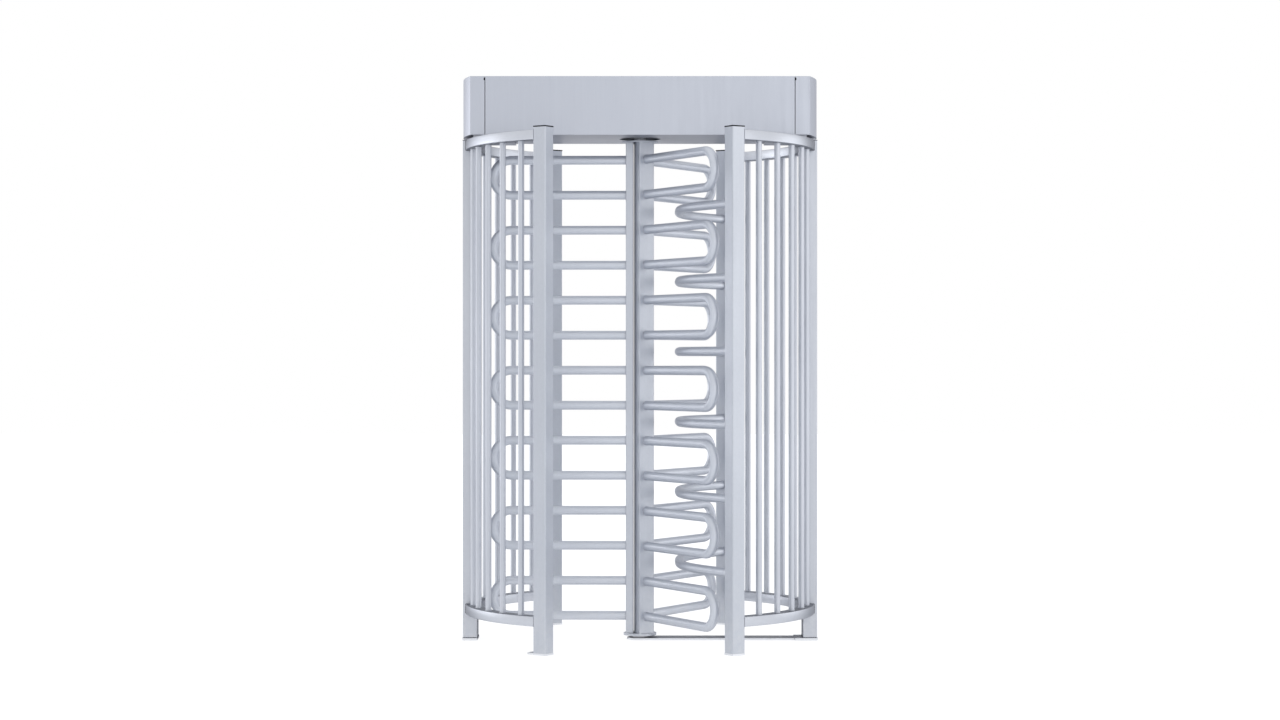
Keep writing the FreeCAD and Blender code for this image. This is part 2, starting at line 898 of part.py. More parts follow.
def wingLoops(wing):
    # One closed loop of tube, its legs square to the upright, repeated up the wing.
    name = f"wing_loops_{wing}"
    centre = (f"{loopReach} - loop_tube_radius - loop_bend_radius", "loop_first_height + loop_bend_radius")
    corners = bendCorners(centre, "loop_bend_radius", "0 - 90", "180", loopBendRuns)
    start = (uprightFace, "loop_first_height")
    end = (uprightFace, loopTop)
    body = newBody(name)
    path = sketchOn(body, f"{name}_path", "XZ_Plane")
    edges = openPath(path, [start, *corners, end])
    profile = sketchOn(body, f"{name}_section", "YZ_Plane", uprightFace)
    hole(profile, "0", "loop_first_height", "loop_tube_radius")
    loop = tubeAlong(body, profile, path, edges)
    doc.recompute()
    levels = body.newObject("PartDesign::LinearPattern", f"{name}_levels")
    levels.Originals = [loop]
    levels.Direction = (originPart(body, "Z_Axis"), [""])
    bind(levels, Length=f"loop_pitch * ({loopCount} - 1)", Occurrences=loopCount)
    body.Tip = levels
    keep(place(body, turn=str(wingAngles[wing])), name)


def makeRotor():
    rotorShaft()
    shaftKeys()
    rotorFlanges()
    for wing in wingAngles:
        upright(wing)
        wingLoops(wing)


# Lower pivot: a base with a spigot, a thrust washer and the bush in the shaft


def pivotBase():
    base = lathe(
        "pivot_base",
        [
            ("0", "strip_thick"),
            (pivotRadius, "strip_thick"),
            (pivotRadius, pivotTop),
            (spigotRadius, pivotTop),
            (spigotRadius, f"{spigotTop} - spigot_chamfer"),
            (f"{spigotRadius} - spigot_chamfer", spigotTop),
            ("0", spigotTop),
        ],
    )
    keep(base, "pivot_base")


def thrustWasher():
    inner = f"{spigotRadius} + sheet_gap"
    outer = f"{pivotRadius} - washer_inset"
    keep(ring("thrust_washer", inner, outer, pivotTop, f"{pivotTop} + washer_thick"), "thrust_washer")


def lowerBush():
    inner = f"{spigotRadius} + running_clearance"
    bush = ring("lower_bush", inner, f"{bushRadius} - seat_clearance", lowerFlange, bushTop)
    keep(bush, "lower_bush")


def makePivot():
    pivotBase()
    thrustWasher()
    lowerBush()


# Head: plates on the side posts, tray, end caps, lid and covers


def headPlate(side):
    # A T in plan: wide under the tray, narrow over the side post.
    half = "(head_half_depth - head_plate_inset)"
    nose = "(side_post_depth / 2 + head_plate_nose)"
    inner = f"{sideInner} - head_plate_reach"
    shoulder = f"{sideInner} + head_plate_step"
    outer = f"{sideOuter} - head_plate_margin"
    corners = [
        (inner, f"0 - {half}"),
        (shoulder, f"0 - {half}"),
        (shoulder, f"0 - {nose}"),
        (outer, f"0 - {nose}"),
        (outer, nose),
        (shoulder, nose),
        (shoulder, half),
        (inner, half),
    ]
    plate = slab(f"head_plate_{side}", corners, f"{headBottom} - head_plate_thick", "head_plate_thick")
    if side == "left":
        drilled = sketchOn(plate, "head_plate_gland_hole", "XY_Plane")
        hole(drilled, sideMiddle, "0", "gland_thread_radius + sheet_gap")
        throughPocket(plate, drilled)
    return place(plate, turn="180" if side == "left" else "0")


def endArc(inset):
    # Half depth, and where the straight side meets the bowed end, for an outline inside the head.
    depth = f"(head_half_depth - ({inset}))"
    radius = f"(head_end_radius - ({inset}))"
    reach = f"({sideOuter} - head_end_radius + sqrt({radius} ^ 2 - {depth} ^ 2))"
    return depth, radius, reach


def headerTray():
    depth, radius, reach = endArc("cover_sheet + sheet_gap")
    corners = [
        (f"0 - {reach}", f"0 - {depth}"),
        (reach, f"0 - {depth}"),
        (reach, depth),
        (f"0 - {reach}", depth),
    ]
    arcs = {1: (radius, True), 3: (radius, True)}
    tray = slab("header_tray", corners, headBottom, "tray_thick", arcs)
    lips = sketchOn(tray, "header_tray_lips", "XY_Plane", trayTop)
    rectangle(lips, f"0 - {lipHalf}", lipHalf, f"0 - {depth}", f"cover_sheet - {depth}")
    rectangle(lips, f"0 - {lipHalf}", lipHalf, f"{depth} - cover_sheet", depth)
    pad(tray, lips, "tray_lip")
    drilled = sketchOn(tray, "header_tray_holes", "XY_Plane")
    hole(drilled, "0", "0", f"{upperFlangeRadius} + opening_gap")
    hole(drilled, f"0 - {sideMiddle}", "0", "gland_thread_radius + sheet_gap")
    throughPocket(tray, drilled)
    keep(tray, "header_tray")


def endCap(side):
    # A bowed end with short straight returns, bent from one sheet.
    outerDepth, outerRadius, outerReach = endArc("0")
    innerDepth, innerRadius, innerReach = endArc("cover_sheet")
    corners = [
        (seam, f"0 - {outerDepth}"),
        (outerReach, f"0 - {outerDepth}"),
        (outerReach, outerDepth),
        (seam, outerDepth),
        (seam, innerDepth),
        (innerReach, innerDepth),
        (innerReach, f"0 - {innerDepth}"),
        (seam, f"0 - {innerDepth}"),
    ]
    arcs = {1: (outerRadius, True), 5: (innerRadius, False)}
    name = f"end_cap_{side}"
    cap = slab(name, corners, headBottom, "head_height", arcs)
    # Small notches in the seam's edges, at the height of the cover's hinge.
    notch = sketchOn(cap, f"{name}_notch", "XZ_Plane")
    notchTop = f"({headTop} - seam_notch_drop)"
    rectangle(notch, seam, f"{seam} + seam_notch_width", f"{notchTop} - seam_notch_height", notchTop)
    throughPocket(cap, notch)
    keep(place(cap, turn="180" if side == "left" else "0"), name)


def headerLid():
    # Narrow between the covers' flanges, wide over the end caps.
    depth, radius, reach = endArc("cover_sheet + sheet_gap")
    step = f"({seam} - lid_step_gap)"
    edge = "(head_half_depth - lid_inset)"
    corners = [
        (f"0 - {step}", f"0 - {edge}"),
        (step, f"0 - {edge}"),
        (step, f"0 - {depth}"),
        (reach, f"0 - {depth}"),
        (reach, depth),
        (step, depth),
        (step, edge),
        (f"0 - {step}", edge),
        (f"0 - {step}", depth),
        (f"0 - {reach}", depth),
        (f"0 - {reach}", f"0 - {depth}"),
        (f"0 - {step}", f"0 - {depth}"),
    ]
    arcs = {3: (radius, True), 9: (radius, True)}
    lid = slab("header_lid", corners, lidBottom, "cover_sheet", arcs)
    lips = sketchOn(lid, "header_lid_lips", "XY_Plane", f"{lidBottom} - lid_lip")
    rectangle(lips, f"0 - {lipHalf}", lipHalf, f"0 - {edge}", f"cover_sheet - {edge}")
    rectangle(lips, f"0 - {lipHalf}", lipHalf, f"{edge} - cover_sheet", edge)
    pad(lid, lips, "lid_lip")
    keep(lid, "header_lid")


def coverShell(label):
    # The front sheet and the flange along its top edge.
    body = newBody(label)
    sheetSketch = sketchOn(body, f"{label}_sheet", "YZ_Plane")
    rectangle(sheetSketch, "0 - head_half_depth", f"0 - {sheetFace}", headBottom, headTop)
    pad(body, sheetSketch, f"2 * ({seam} - seam_gap)", symmetric=True)
    flange = sketchOn(body, f"{label}_flange", "YZ_Plane")
    rectangle(flange, f"0 - {sheetFace}", f"0 - {flangeEdge}", lidBottom, headTop)
    pad(body, flange, f"2 * {lipHalf}", symmetric=True)
    return body


def frontCover():
    # Its ears hang on the pins of the bulkheads.
    cover = coverShell("front_cover")
    earPlace = f"{bulkheadInner} + bulkhead_thick + ear_gap"
    ear = sketchOn(cover, "front_cover_ear", "YZ_Plane", earPlace)
    bottom = f"{headBottom} + ear_lift"
    inner = "0 - (head_half_depth - ear_inset)"
    corners = [
        (f"0 - {sheetFace}", bottom),
        (inner, bottom),
        (inner, f"{hingeHeight} - ear_shoulder_drop"),
        (f"0 - {flangeEdge}", lidBottom),
        (f"0 - {sheetFace}", lidBottom),
    ]
    outline(ear, corners)
    earPad = pad(cover, ear, "cover_sheet")
    doc.recompute()
    mirrorFeature(cover, earPad, "YZ_Plane")
    drilled = sketchOn(cover, "front_cover_hinge_hole", "YZ_Plane")
    hole(drilled, f"0 - {hingeDepth}", hingeHeight, "hinge_pin_radius + running_clearance")
    throughPocket(cover, drilled)
    keep(cover, "front_cover")


def rearCover():
    keep(place(coverShell("rear_cover"), turn="180"), "rear_cover")


def bulkhead():
    # An upright plate with a lug at its front top corner for the cover's hinge pin.
    body = newBody("bulkhead_right")
    plate = sketchOn(body, "bulkhead_plate", "YZ_Plane", bulkheadInner)
    half = "(head_half_depth - bulkhead_margin)"
    rectangle(plate, f"0 - {half}", half, trayTop, lidBottom)
    pad(body, plate, "bulkhead_thick")
    arm = sketchOn(body, "bulkhead_arm", "YZ_Plane", bulkheadInner)
    low, high = f"{hingeHeight} - hinge_lug_drop", f"{hingeHeight} + hinge_lug_rise"
    rectangle(arm, f"0 - {hingeDepth}", f"0 - {half}", low, high)
    pad(body, arm, "bulkhead_thick")
    eye = sketchOn(body, "bulkhead_eye", "YZ_Plane", bulkheadInner)
    hole(eye, f"0 - {hingeDepth}", hingeHeight, "hinge_lug_radius")
    pad(body, eye, "bulkhead_thick")
    drilled = sketchOn(body, "bulkhead_pin_hole", "YZ_Plane")
    hole(drilled, f"0 - {hingeDepth}", hingeHeight, "hinge_pin_radius + seat_clearance")
    throughPocket(body, drilled)
    return body


def hingePin():
    body = newBody("hinge_pin_right")
    sketch = sketchOn(body, "hinge_pin_section", "YZ_Plane", f"{bulkheadInner} - seat_clearance")
    hole(sketch, f"0 - {hingeDepth}", hingeHeight, "hinge_pin_radius")
    pad(body, sketch, "hinge_pin_length")
    return body


def mirroredPair(label, piece):
    keep(group(label, [piece, mirror(f"{label}_left", piece, Vector(1, 0, 0))]), label)


def headerBeams():
    body = newBody("header_beam_rear")
    sketch = sketchOn(body, "header_beam_section", "YZ_Plane")
    half = "beam_size / 2"
    near, far = f"{beamPlace} - {half}", f"{beamPlace} + {half}"
    rectangle(sketch, near, far, trayTop, plateBottom)
    low, high = f"{trayTop} + beam_wall", f"{plateBottom} - beam_wall"
    rectangle(sketch, f"{near} + beam_wall", f"{far} - beam_wall", low, high)
    pad(body, sketch, f"2 * {bulkheadInner}", symmetric=True)
    other = mirror("header_beam_front", body, Vector(0, 1, 0))
    keep(group("header_beams", [body, other]), "header_beams")


def cableGland():
    # A threaded sleeve through the left head plate and the tray, with a round body above.
    bottom = f"{headBottom} - head_plate_thick"
    top = f"{trayTop} + gland_height"
    gland = lathe(
        "cable_gland",
        [
            ("gland_bore", bottom),
            ("gland_thread_radius", bottom),
            ("gland_thread_radius", trayTop),
            ("gland_body_radius", trayTop),
            ("gland_body_radius", f"{top} - (gland_body_radius - gland_thread_radius)"),
            ("gland_thread_radius", top),
            ("gland_bore", top),
        ],
    )
    keep(place(gland, x=f"0 - {sideMiddle}"), "cable_gland")


def makeHead():
    keep(group("head_plates", [headPlate(side) for side in ("left", "right")]), "head_plates")
    headerTray()
    for side in ("left", "right"):
        endCap(side)
    headerLid()
    frontCover()
    rearCover()
    mirroredPair("bulkheads", bulkhead())
    mirroredPair("cover_hinge_pins", hingePin())
    headerBeams()
    cableGland()


# Drive and lock: plate, housing, bearing, gears, gearmotor, lock disc and bolt


def mechanismPlate():
    left = "0 - plate_left"
    right = f"{gearCentres} + plate_margin"
    half = f"({beamPlace} + beam_size / 2 + plate_overhang)"
    corners = [(left, f"0 - {half}"), (right, f"0 - {half}"), (right, half), (left, half)]
    plate = slab("mechanism_plate", corners, plateBottom, "plate_thick")
    drilled = sketchOn(plate, "mechanism_plate_hole", "XY_Plane")
    hole(drilled, "0", "0", "shaft_radius + plate_opening_gap")
    throughPocket(plate, drilled)
    keep(plate, "mechanism_plate")


def bearingHousing():
    bore = f"{bearingRadius} + seat_clearance"
    flangeRadius = f"{housingRadius} + housing_flange_reach"
    flangeTop = f"{plateTop} + housing_flange_thick"
    top = f"{bearingTop} + housing_rim"
    housing = lathe(
        "bearing_housing",
        [
            (housingLipRadius, plateTop),
            (flangeRadius, plateTop),
            (flangeRadius, flangeTop),
            (housingRadius, flangeTop),
            (housingRadius, top),
            (bore, top),
            (bore, bearingBottom),
            (housingLipRadius, bearingBottom),
        ],
    )
    keep(housing, "bearing_housing")


def bearingRings():
    outer = ring("bearing_outer_ring", outerRingBore, bearingRadius, bearingBottom, bearingTop)
    keep(outer, "bearing_outer_ring")
    inner = ring("bearing_inner_ring", shaftSeat, innerRingRadius, bearingBottom, bearingTop)
    keep(inner, "bearing_inner_ring")


def bearingSeals():
    # They sit in the outer ring and run close to the inner one. The balls between them stay hidden.
    near = f"{innerRingRadius} + sheet_gap"
    far = f"{outerRingBore} - seat_clearance"
    lower = f"({bearingBottom} + seal_recess)"
    upper = f"({bearingTop} - seal_recess - seal_thick)"
    seals = [
        ring("lower_seal", near, far, lower, f"{lower} + seal_thick"),
        ring("upper_seal", near, far, upper, f"{upper} + seal_thick"),
    ]
    keep(group("bearing_seals", seals), "bearing_seals")


def lockDisc():
    # A slotted disc on a keyed hub. The slots are as wide as the bolt and its clearance.
    hubTop = hubSpans["disc"][1]
    hubRadius = "shaft_radius + disc_hub_wall"
    disc = lathe(
        "lock_disc",
        [
            (shaftSeat, discBottom),
            ("disc_radius", discBottom),
            ("disc_radius", f"{discBottom} + disc_thick"),
            (hubRadius, f"{discBottom} + disc_thick"),
            (hubRadius, hubTop),
            (shaftSeat, hubTop),
        ],
    )
    slot = sketchOn(disc, "lock_disc_slot", "XY_Plane")
    half = "(bolt_radius + slot_clearance)"
    slotBottom = f"{boltNose} - bolt_travel - slot_end_gap"
    rectangle(slot, f"0 - {half}", half, slotBottom, "disc_radius + bolt_radius")
    slotCut = throughPocket(disc, slot)
    doc.recompute()
    polarCopies(disc, slotCut, "360", "slot_count")
    keyway = sketchOn(disc, "lock_disc_keyway", "XY_Plane")
    side = "(key_width / 2 + seat_clearance)"
    rectangle(keyway, "0", keywayTop, f"0 - {side}", side)
    throughPocket(disc, keyway)
    keep(disc, "lock_disc")


def lockBolt():
    # Its axis lies along Y: drawn upright, then laid down with its nose towards the disc.
    bolt = lathe(
        "lock_bolt",
        [
            ("0", "0"),
            ("bolt_radius - bolt_chamfer", "0"),
            ("bolt_radius", "bolt_chamfer"),
            ("bolt_radius", boltLength),
            ("0", boltLength),
        ],
    )
    keep(place(bolt, "0", boltNose, discMiddle, "0 - 90", Vector(1, 0, 0)), "lock_bolt")


def lockSolenoid():
    half = "lock_half_width"
    low = (f"0 - {half}", lockFront, plateTop)
    case = block("lock_case", low, (half, lockRear, f"{discMiddle} + lock_rise"))
    bore = doc.addObject("Part::Cylinder", "lock_bore")
    bind(bore, Radius="bolt_radius + running_clearance", Height=f"{lockBoreEnd} - {lockFront}")
    place(bore, "0", lockFront, discMiddle, "0 - 90", Vector(1, 0, 0))
    keep(cut("lock_solenoid", case, bore), "lock_solenoid")


# How far a tooth's root lies inside the pitch circle, in modules.
rootDepth = 1.25


def involuteAngle(baseRadius, radius):
    # How far round an involute has gone where it reaches a radius.
    roll = math.acos(baseRadius / radius)
    return math.tan(roll) - roll


def polar(radius, angle):
    return Vector(radius * math.cos(angle), radius * math.sin(angle), 0)


def toothedFace(teeth):
    # The outline of a spur gear. Each flank is a short root line and an arc through the involute.
    module = size("gear_module")
    pitchRadius = module * teeth / 2
    baseRadius = pitchRadius * math.cos(math.radians(size("pressure_angle")))
    tipRadius = pitchRadius + module
    rootRadius = pitchRadius - rootDepth * module
    thickness = math.pi * module / 2 - size("tooth_thinning")
    baseHalf = thickness / 2 / pitchRadius + involuteAngle(baseRadius, pitchRadius)
    middleRadius = (baseRadius + tipRadius) / 2
    middleHalf = baseHalf - involuteAngle(baseRadius, middleRadius)
    tipHalf = baseHalf - involuteAngle(baseRadius, tipRadius)
    pitchAngle = 2 * math.pi / teeth
    edges = []
    for tooth in range(teeth):
        axis = tooth * pitchAngle
        rise = [
            polar(rootRadius, axis - baseHalf),
            polar(baseRadius, axis - baseHalf),
            polar(middleRadius, axis - middleHalf),
            polar(tipRadius, axis - tipHalf),
        ]
        fall = [
            polar(tipRadius, axis + tipHalf),
            polar(middleRadius, axis + middleHalf),
            polar(baseRadius, axis + baseHalf),
            polar(rootRadius, axis + baseHalf),
        ]
        after = polar(rootRadius, axis + pitchAngle - baseHalf)
        edges.append(Part.LineSegment(rise[0], rise[1]))
        edges.append(Part.Arc(rise[1], rise[2], rise[3]))
        edges.append(Part.Arc(rise[3], polar(tipRadius, axis), fall[0]))
        edges.append(Part.Arc(fall[0], fall[1], fall[2]))
        edges.append(Part.LineSegment(fall[2], fall[3]))
        edges.append(Part.Arc(fall[3], polar(rootRadius, axis + pitchAngle / 2), after))
    return Part.Face(Part.Wire([edge.toShape() for edge in edges]))


def driveGear():
    # A rim with teeth, a thinner web and a keyed hub that stands out below.
    width = size("gear_width")
    overhang = size("gear_hub_overhang")
    recess = (width - size("gear_web")) / 2
    rimRadius = size("gear_module") * (size("gear_teeth") / 2 - rootDepth) - size("gear_rim")
    hubRadius = size("shaft_radius") + size("gear_hub_wall")
    blank = toothedFace(int(size("gear_teeth"))).extrude(Vector(0, 0, width))
    hub = Part.makeCylinder(hubRadius, width + overhang, Vector(0, 0, -overhang))
    for bottom in (0, width - recess):
        pocket = Part.makeCylinder(rimRadius, recess, Vector(0, 0, bottom))
        blank = blank.cut(pocket)
    length = width + overhang
    bore = Part.makeCylinder(measure(shaftSeat), length, Vector(0, 0, -overhang))
    keyWidth = size("key_width") + 2 * size("seat_clearance")
    keyway = Part.makeBox(measure(keywayTop), keyWidth, length, Vector(0, -keyWidth / 2, -overhang))
    gear = doc.addObject("Part::Feature", "drive_gear")
    gear.Shape = blank.fuse(hub).cut(bore).cut(keyway)
    keep(place(gear, z=gearBottom), "drive_gear")


def motorPinion():
    # Cut in one with its shaft, whose end sits in the gearmotor's boss.
    length = size("gear_width") + 2 * size("pinion_overhang")
    shaftLength = size("pinion_gap") + size("pinion_grip")
    teeth = toothedFace(int(size("pinion_teeth"))).extrude(Vector(0, 0, length))
    shaft = Part.makeCylinder(size("pinion_shaft_radius"), shaftLength, Vector(0, 0, -shaftLength))
    pinion = doc.addObject("Part::Feature", "motor_pinion")
    pinion.Shape = teeth.fuse(shaft)
    keep(place(pinion, x=gearCentres, z=pinionBottom), "motor_pinion")


def gearMotor():
    flangeTop = f"({bossTop} - motor_boss_height)"
    flangeBottom = f"{flangeTop} - motor_flange_thick"
    bore = "pinion_shaft_radius + running_clearance"
    boreBottom = f"{bossTop} - pinion_grip - pinion_end_gap"
    motor = lathe(
        "gearmotor",
        [
            ("0", plateTop),
            ("motor_radius", plateTop),
            ("motor_radius", flangeBottom),
            ("motor_flange_radius", flangeBottom),
            ("motor_flange_radius", flangeTop),
            ("motor_boss_radius", flangeTop),
            ("motor_boss_radius", bossTop),
            (bore, bossTop),
            (bore, boreBottom),
            ("0", boreBottom),
        ],
    )
    keep(place(motor, x=gearCentres), "gearmotor")


def controlUnit():
    # A case between the beams, with a lid that stands a little proud of it.
    left = f"(control_inset - {bulkheadInner})"
    right = f"({left} + control_width)"
    half = f"({beamPlace} - beam_size / 2 - control_gap)"
    top = f"({trayTop} + control_height)"
    split = f"({top} - control_cover)"
    low = (f"{left} + control_overhang", f"control_overhang - {half}", trayTop)
    high = (f"{right} - control_overhang", f"{half} - control_overhang", split)
    case = block("control_case", low, high)
    cover = block("control_lid", (left, f"0 - {half}", split), (right, half, top))
    keep(join("control_unit", [case, cover]), "control_unit")


def powerSupply():
    right = f"({bulkheadInner} - supply_inset)"
    half = "supply_half_depth"
    low = (f"{right} - supply_width", f"0 - {half}", trayTop)
    case = block("power_supply", low, (right, half, f"{trayTop} + supply_height"))
    keep(case, "power_supply")


def makeDrive():
    mechanismPlate()
    bearingHousing()
    bearingRings()
    bearingSeals()
    lockDisc()
    lockBolt()
    lockSolenoid()
    driveGear()
    motorPinion()
    gearMotor()
    controlUnit()
    powerSupply()


def checkAndExport():
    doc.recompute()
    for item in doc.Objects:
        if "Invalid" in item.State or "Error" in item.State:
            raise RuntimeError(f"{item.Label} failed: {item.State}")
    for node in nodes:
        if node.Shape.isNull() or not node.Shape.isValid():
            raise RuntimeError(f"{node.Label} has no valid shape")
    os.makedirs("parts", exist_ok=True)
    for node in nodes:
        node.Shape.exportStep(f"parts/{node.Label}.step")
        print(node.Label, len(node.Shape.Solids), round(node.Shape.Volume))
    print(len(nodes), "nodes")


makeCage()
makeSides()
combBars()
makeRotor()
makePivot()
makeHead()
makeDrive()
checkAndExport()
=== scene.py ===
import bpy
import bmesh
import math
from mathutils import Matrix, Vector


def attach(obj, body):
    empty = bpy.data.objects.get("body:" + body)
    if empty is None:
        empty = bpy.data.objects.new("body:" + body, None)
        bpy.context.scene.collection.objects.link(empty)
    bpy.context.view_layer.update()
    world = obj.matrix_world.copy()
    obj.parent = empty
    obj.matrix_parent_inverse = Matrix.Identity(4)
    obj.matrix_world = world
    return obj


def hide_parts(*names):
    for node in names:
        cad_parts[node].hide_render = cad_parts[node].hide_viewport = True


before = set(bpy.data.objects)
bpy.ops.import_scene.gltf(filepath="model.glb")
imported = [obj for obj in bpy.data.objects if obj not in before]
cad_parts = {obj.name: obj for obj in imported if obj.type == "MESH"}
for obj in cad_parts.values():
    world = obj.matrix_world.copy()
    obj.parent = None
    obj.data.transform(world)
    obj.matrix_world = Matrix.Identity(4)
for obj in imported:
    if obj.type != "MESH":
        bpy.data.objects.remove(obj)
print("frame:", len(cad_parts), "nodes")

for leftover in ("Cube", "Light", "Camera"):
    if leftover in bpy.data.objects:
        bpy.data.objects.remove(bpy.data.objects[leftover])
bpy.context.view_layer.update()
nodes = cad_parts

camera = {"place": (0.0, -10.9, 1.194), "lens": 71.56, "sensor": 36.0, "farClip": 200.0}


def addItem(name, data):
    item = bpy.data.objects.new(name, data)
    bpy.context.scene.collection.objects.link(item)
    return item


def setCamera():
    data = bpy.data.cameras.new("camera")
    data.lens = camera["lens"]
    data.sensor_width = camera["sensor"]
    data.clip_end = camera["farClip"]
    item = addItem("camera", data)
    item.location = camera["place"]
    item.rotation_euler = (math.radians(90), 0, 0)  # level, looking along +Y
    bpy.context.scene.camera = item
    bpy.context.scene.view_settings.view_transform = "Standard"


setCamera()
print("camera set")

studio = {
    "ambient": (0.90, 0.94, 1.0),
    "ambientStrength": 1.0,
    "floorSize": 60.0,
    "floorDrop": 0.0005,
    "floorGlow": 0.84,
    "floorShade": (0.30, 0.30, 0.30),
    "floorBounce": (0.80, 0.81, 0.83),
    "lampAim": (0.0, 0.0, 1.2),
}
lamps = {
    "key_softbox": {"place": (7.5, -5.5, 2.2), "size": (4.0, 4.0), "power": 54, "tint": (1.0, 0.99, 0.98)},
    "front_softbox": {"place": (2.5, -12.5, 3.0), "size": (4.0, 3.0), "power": 42, "tint": (0.98, 0.99, 1.0)},
    "rim_softbox": {"place": (-6.5, 4.4, 1.7), "size": (6.0, 3.5), "power": 110, "tint": (1.0, 1.0, 1.0)},
    "rear_softbox": {"place": (7.0, 3.2, 1.7), "size": (3.5, 3.5), "power": 42, "tint": (1.0, 1.0, 1.0)},
}


def link(tree, start, end):
    tree.links.new(start, end)


def feed(tree, value, socket):
    # a number or a colour goes on the socket, an output is linked to it
    if isinstance(value, bpy.types.NodeSocket):
        link(tree, value, socket)
    else:
        socket.default_value = value


def addNode(tree, kind, **values):
    node = tree.nodes.new("ShaderNode" + kind)
    for label, value in values.items():
        feed(tree, value, node.inputs[label])
    return node


def combine(tree, kind, operation, first, second):
    node = addNode(tree, kind)
    node.operation = operation
    feed(tree, first, node.inputs[0])
    feed(tree, second, node.inputs[1])
    return node


def maths(tree, operation, first, second, clamp=False):
    node = combine(tree, "Math", operation, first, second)
    node.use_clamp = clamp
    return node.outputs[0]


def seenWhite(tree):
    # 1 for the rays that should meet plain white: straight from the camera, off gloss and through glass
    path = addNode(tree, "LightPath")
    direct = maths(tree, "MAXIMUM", path.outputs["Is Camera Ray"], path.outputs["Is Glossy Ray"])
    return maths(tree, "MAXIMUM", direct, path.outputs["Is Transmission Ray"])


def mixShaders(tree, first, second, out):
    # the second shader for the rays of seenWhite, the first for the rest
    mix = addNode(tree, "MixShader")
    for number, value in enumerate((seenWhite(tree), first, second)):
        link(tree, value, mix.inputs[number])
    link(tree, mix.outputs[0], out.inputs["Surface"])


def setWorld():
    world = bpy.data.worlds.new("studio")
    bpy.context.scene.world = world
    world.use_nodes = True
    tree = world.node_tree
    tree.nodes.clear()
    ambient = addNode(tree, "Background", Color=(*studio["ambient"], 1), Strength=studio["ambientStrength"])
    white = addNode(tree, "Background", Color=(1, 1, 1, 1), Strength=1)
    mixShaders(tree, ambient.outputs[0], white.outputs[0], addNode(tree, "OutputWorld"))


def setFloor():
    half = studio["floorSize"] / 2
    corners = [(-half, -half, 0), (half, -half, 0), (half, half, 0), (-half, half, 0)]
    mesh = bpy.data.meshes.new("floor")
    mesh.from_pydata(corners, [], [(0, 1, 2, 3)])
    floor = addItem("floor", mesh)
    floor.location.z = -studio["floorDrop"]
    material = bpy.data.materials.new("floor")
    material.use_nodes = True
    mesh.materials.append(material)
    tree = material.node_tree
    tree.nodes.clear()
    glow = addNode(tree, "Emission", Strength=studio["floorGlow"])
    shade = addNode(tree, "BsdfDiffuse", Color=(*studio["floorShade"], 1))
    bounce = addNode(tree, "BsdfDiffuse", Color=(*studio["floorBounce"], 1))
    add = addNode(tree, "AddShader")
    link(tree, glow.outputs[0], add.inputs[0])
    link(tree, shade.outputs[0], add.inputs[1])
    mixShaders(tree, bounce.outputs[0], add.outputs[0], addNode(tree, "OutputMaterial"))


def setLamps():
    aim = Vector(studio["lampAim"])
    for name, lamp in lamps.items():
        data = bpy.data.lights.new(name, "AREA")
        data.shape = "RECTANGLE"
        data.size, data.size_y = lamp["size"]
        data.energy = lamp["power"]
        data.color = lamp["tint"]
        item = addItem(name, data)
        item.location = lamp["place"]
        item.rotation_mode = "QUATERNION"
        item.rotation_quaternion = (aim - item.location).to_track_quat("-Z", "Y")


setWorld()
setFloor()
setLamps()
print("studio set:", len(lamps), "lamps")


placeInput = ("Vector", "Vector", (0, 0, 0))


def newGroup(name, inputs, outputs):
    group = bpy.data.node_groups.new(name, "ShaderNodeTree")
    for label, kind, value in inputs:
        socket = group.interface.new_socket(label, in_out="INPUT", socket_type="NodeSocket" + kind)
        socket.default_value = value
    for label, kind in outputs:
        group.interface.new_socket(label, in_out="OUTPUT", socket_type="NodeSocket" + kind)
    return group, group.nodes.new("NodeGroupInput"), group.nodes.new("NodeGroupOutput")


def noise(tree, vector, scale, detail=4.0, rough=0.55):
    node = addNode(tree, "TexNoise", Vector=vector, Scale=scale, Detail=detail, Roughness=rough)
    return node.outputs["Fac"]


def spread(tree, value, low, high, outLow=0.0, outHigh=1.0):
    node = addNode(tree, "MapRange", Value=value)
    for label, number in zip(("From Min", "From Max", "To Min", "To Max"), (low, high, outLow, outHigh)):
        feed(tree, number, node.inputs[label])
    return node.outputs["Result"]


def blendColour(tree, factor, first, second):
    node = addNode(tree, "Mix")
    node.data_type = "RGBA"
    feed(tree, factor, node.inputs["Factor"])
    feed(tree, first, node.inputs["A"])
    feed(tree, second, node.inputs["B"])
    return node.outputs["Result"]


grainMix = {"broadScale": 0.17, "fine": 0.6, "broad": 0.4, "low": 0.3, "high": 0.7}


def makeGrain():
    # fine lines left by the abrasive belt, stretched along the surface by Along
    inputs = [
        placeInput,
        ("Along", "Vector", (1, 1, 0.03)),
        ("Lines per metre", "Float", 900.0),
    ]
    outputs = [("Grain", "Float"), ("Height", "Float")]
    group, start, end = newGroup("belt grain", inputs, outputs)
    stretched = combine(group, "VectorMath", "MULTIPLY", start.outputs["Vector"], start.outputs["Along"])
    vector = stretched.outputs[0]
    lines = start.outputs["Lines per metre"]
    fine = noise(group, vector, lines, detail=3.0, rough=0.7)
    fewer = maths(group, "MULTIPLY", lines, grainMix["broadScale"])
    broad = noise(group, vector, fewer, detail=2.0, rough=0.5)
    fineShare = maths(group, "MULTIPLY", fine, grainMix["fine"])
    broadShare = maths(group, "MULTIPLY", broad, grainMix["broad"])
    both = maths(group, "ADD", fineShare, broadShare)
    link(group, spread(group, both, grainMix["low"], grainMix["high"]), end.inputs["Grain"])
    link(group, both, end.inputs["Height"])
    return group


cloudMix = {"low": 0.3, "high": 0.7}


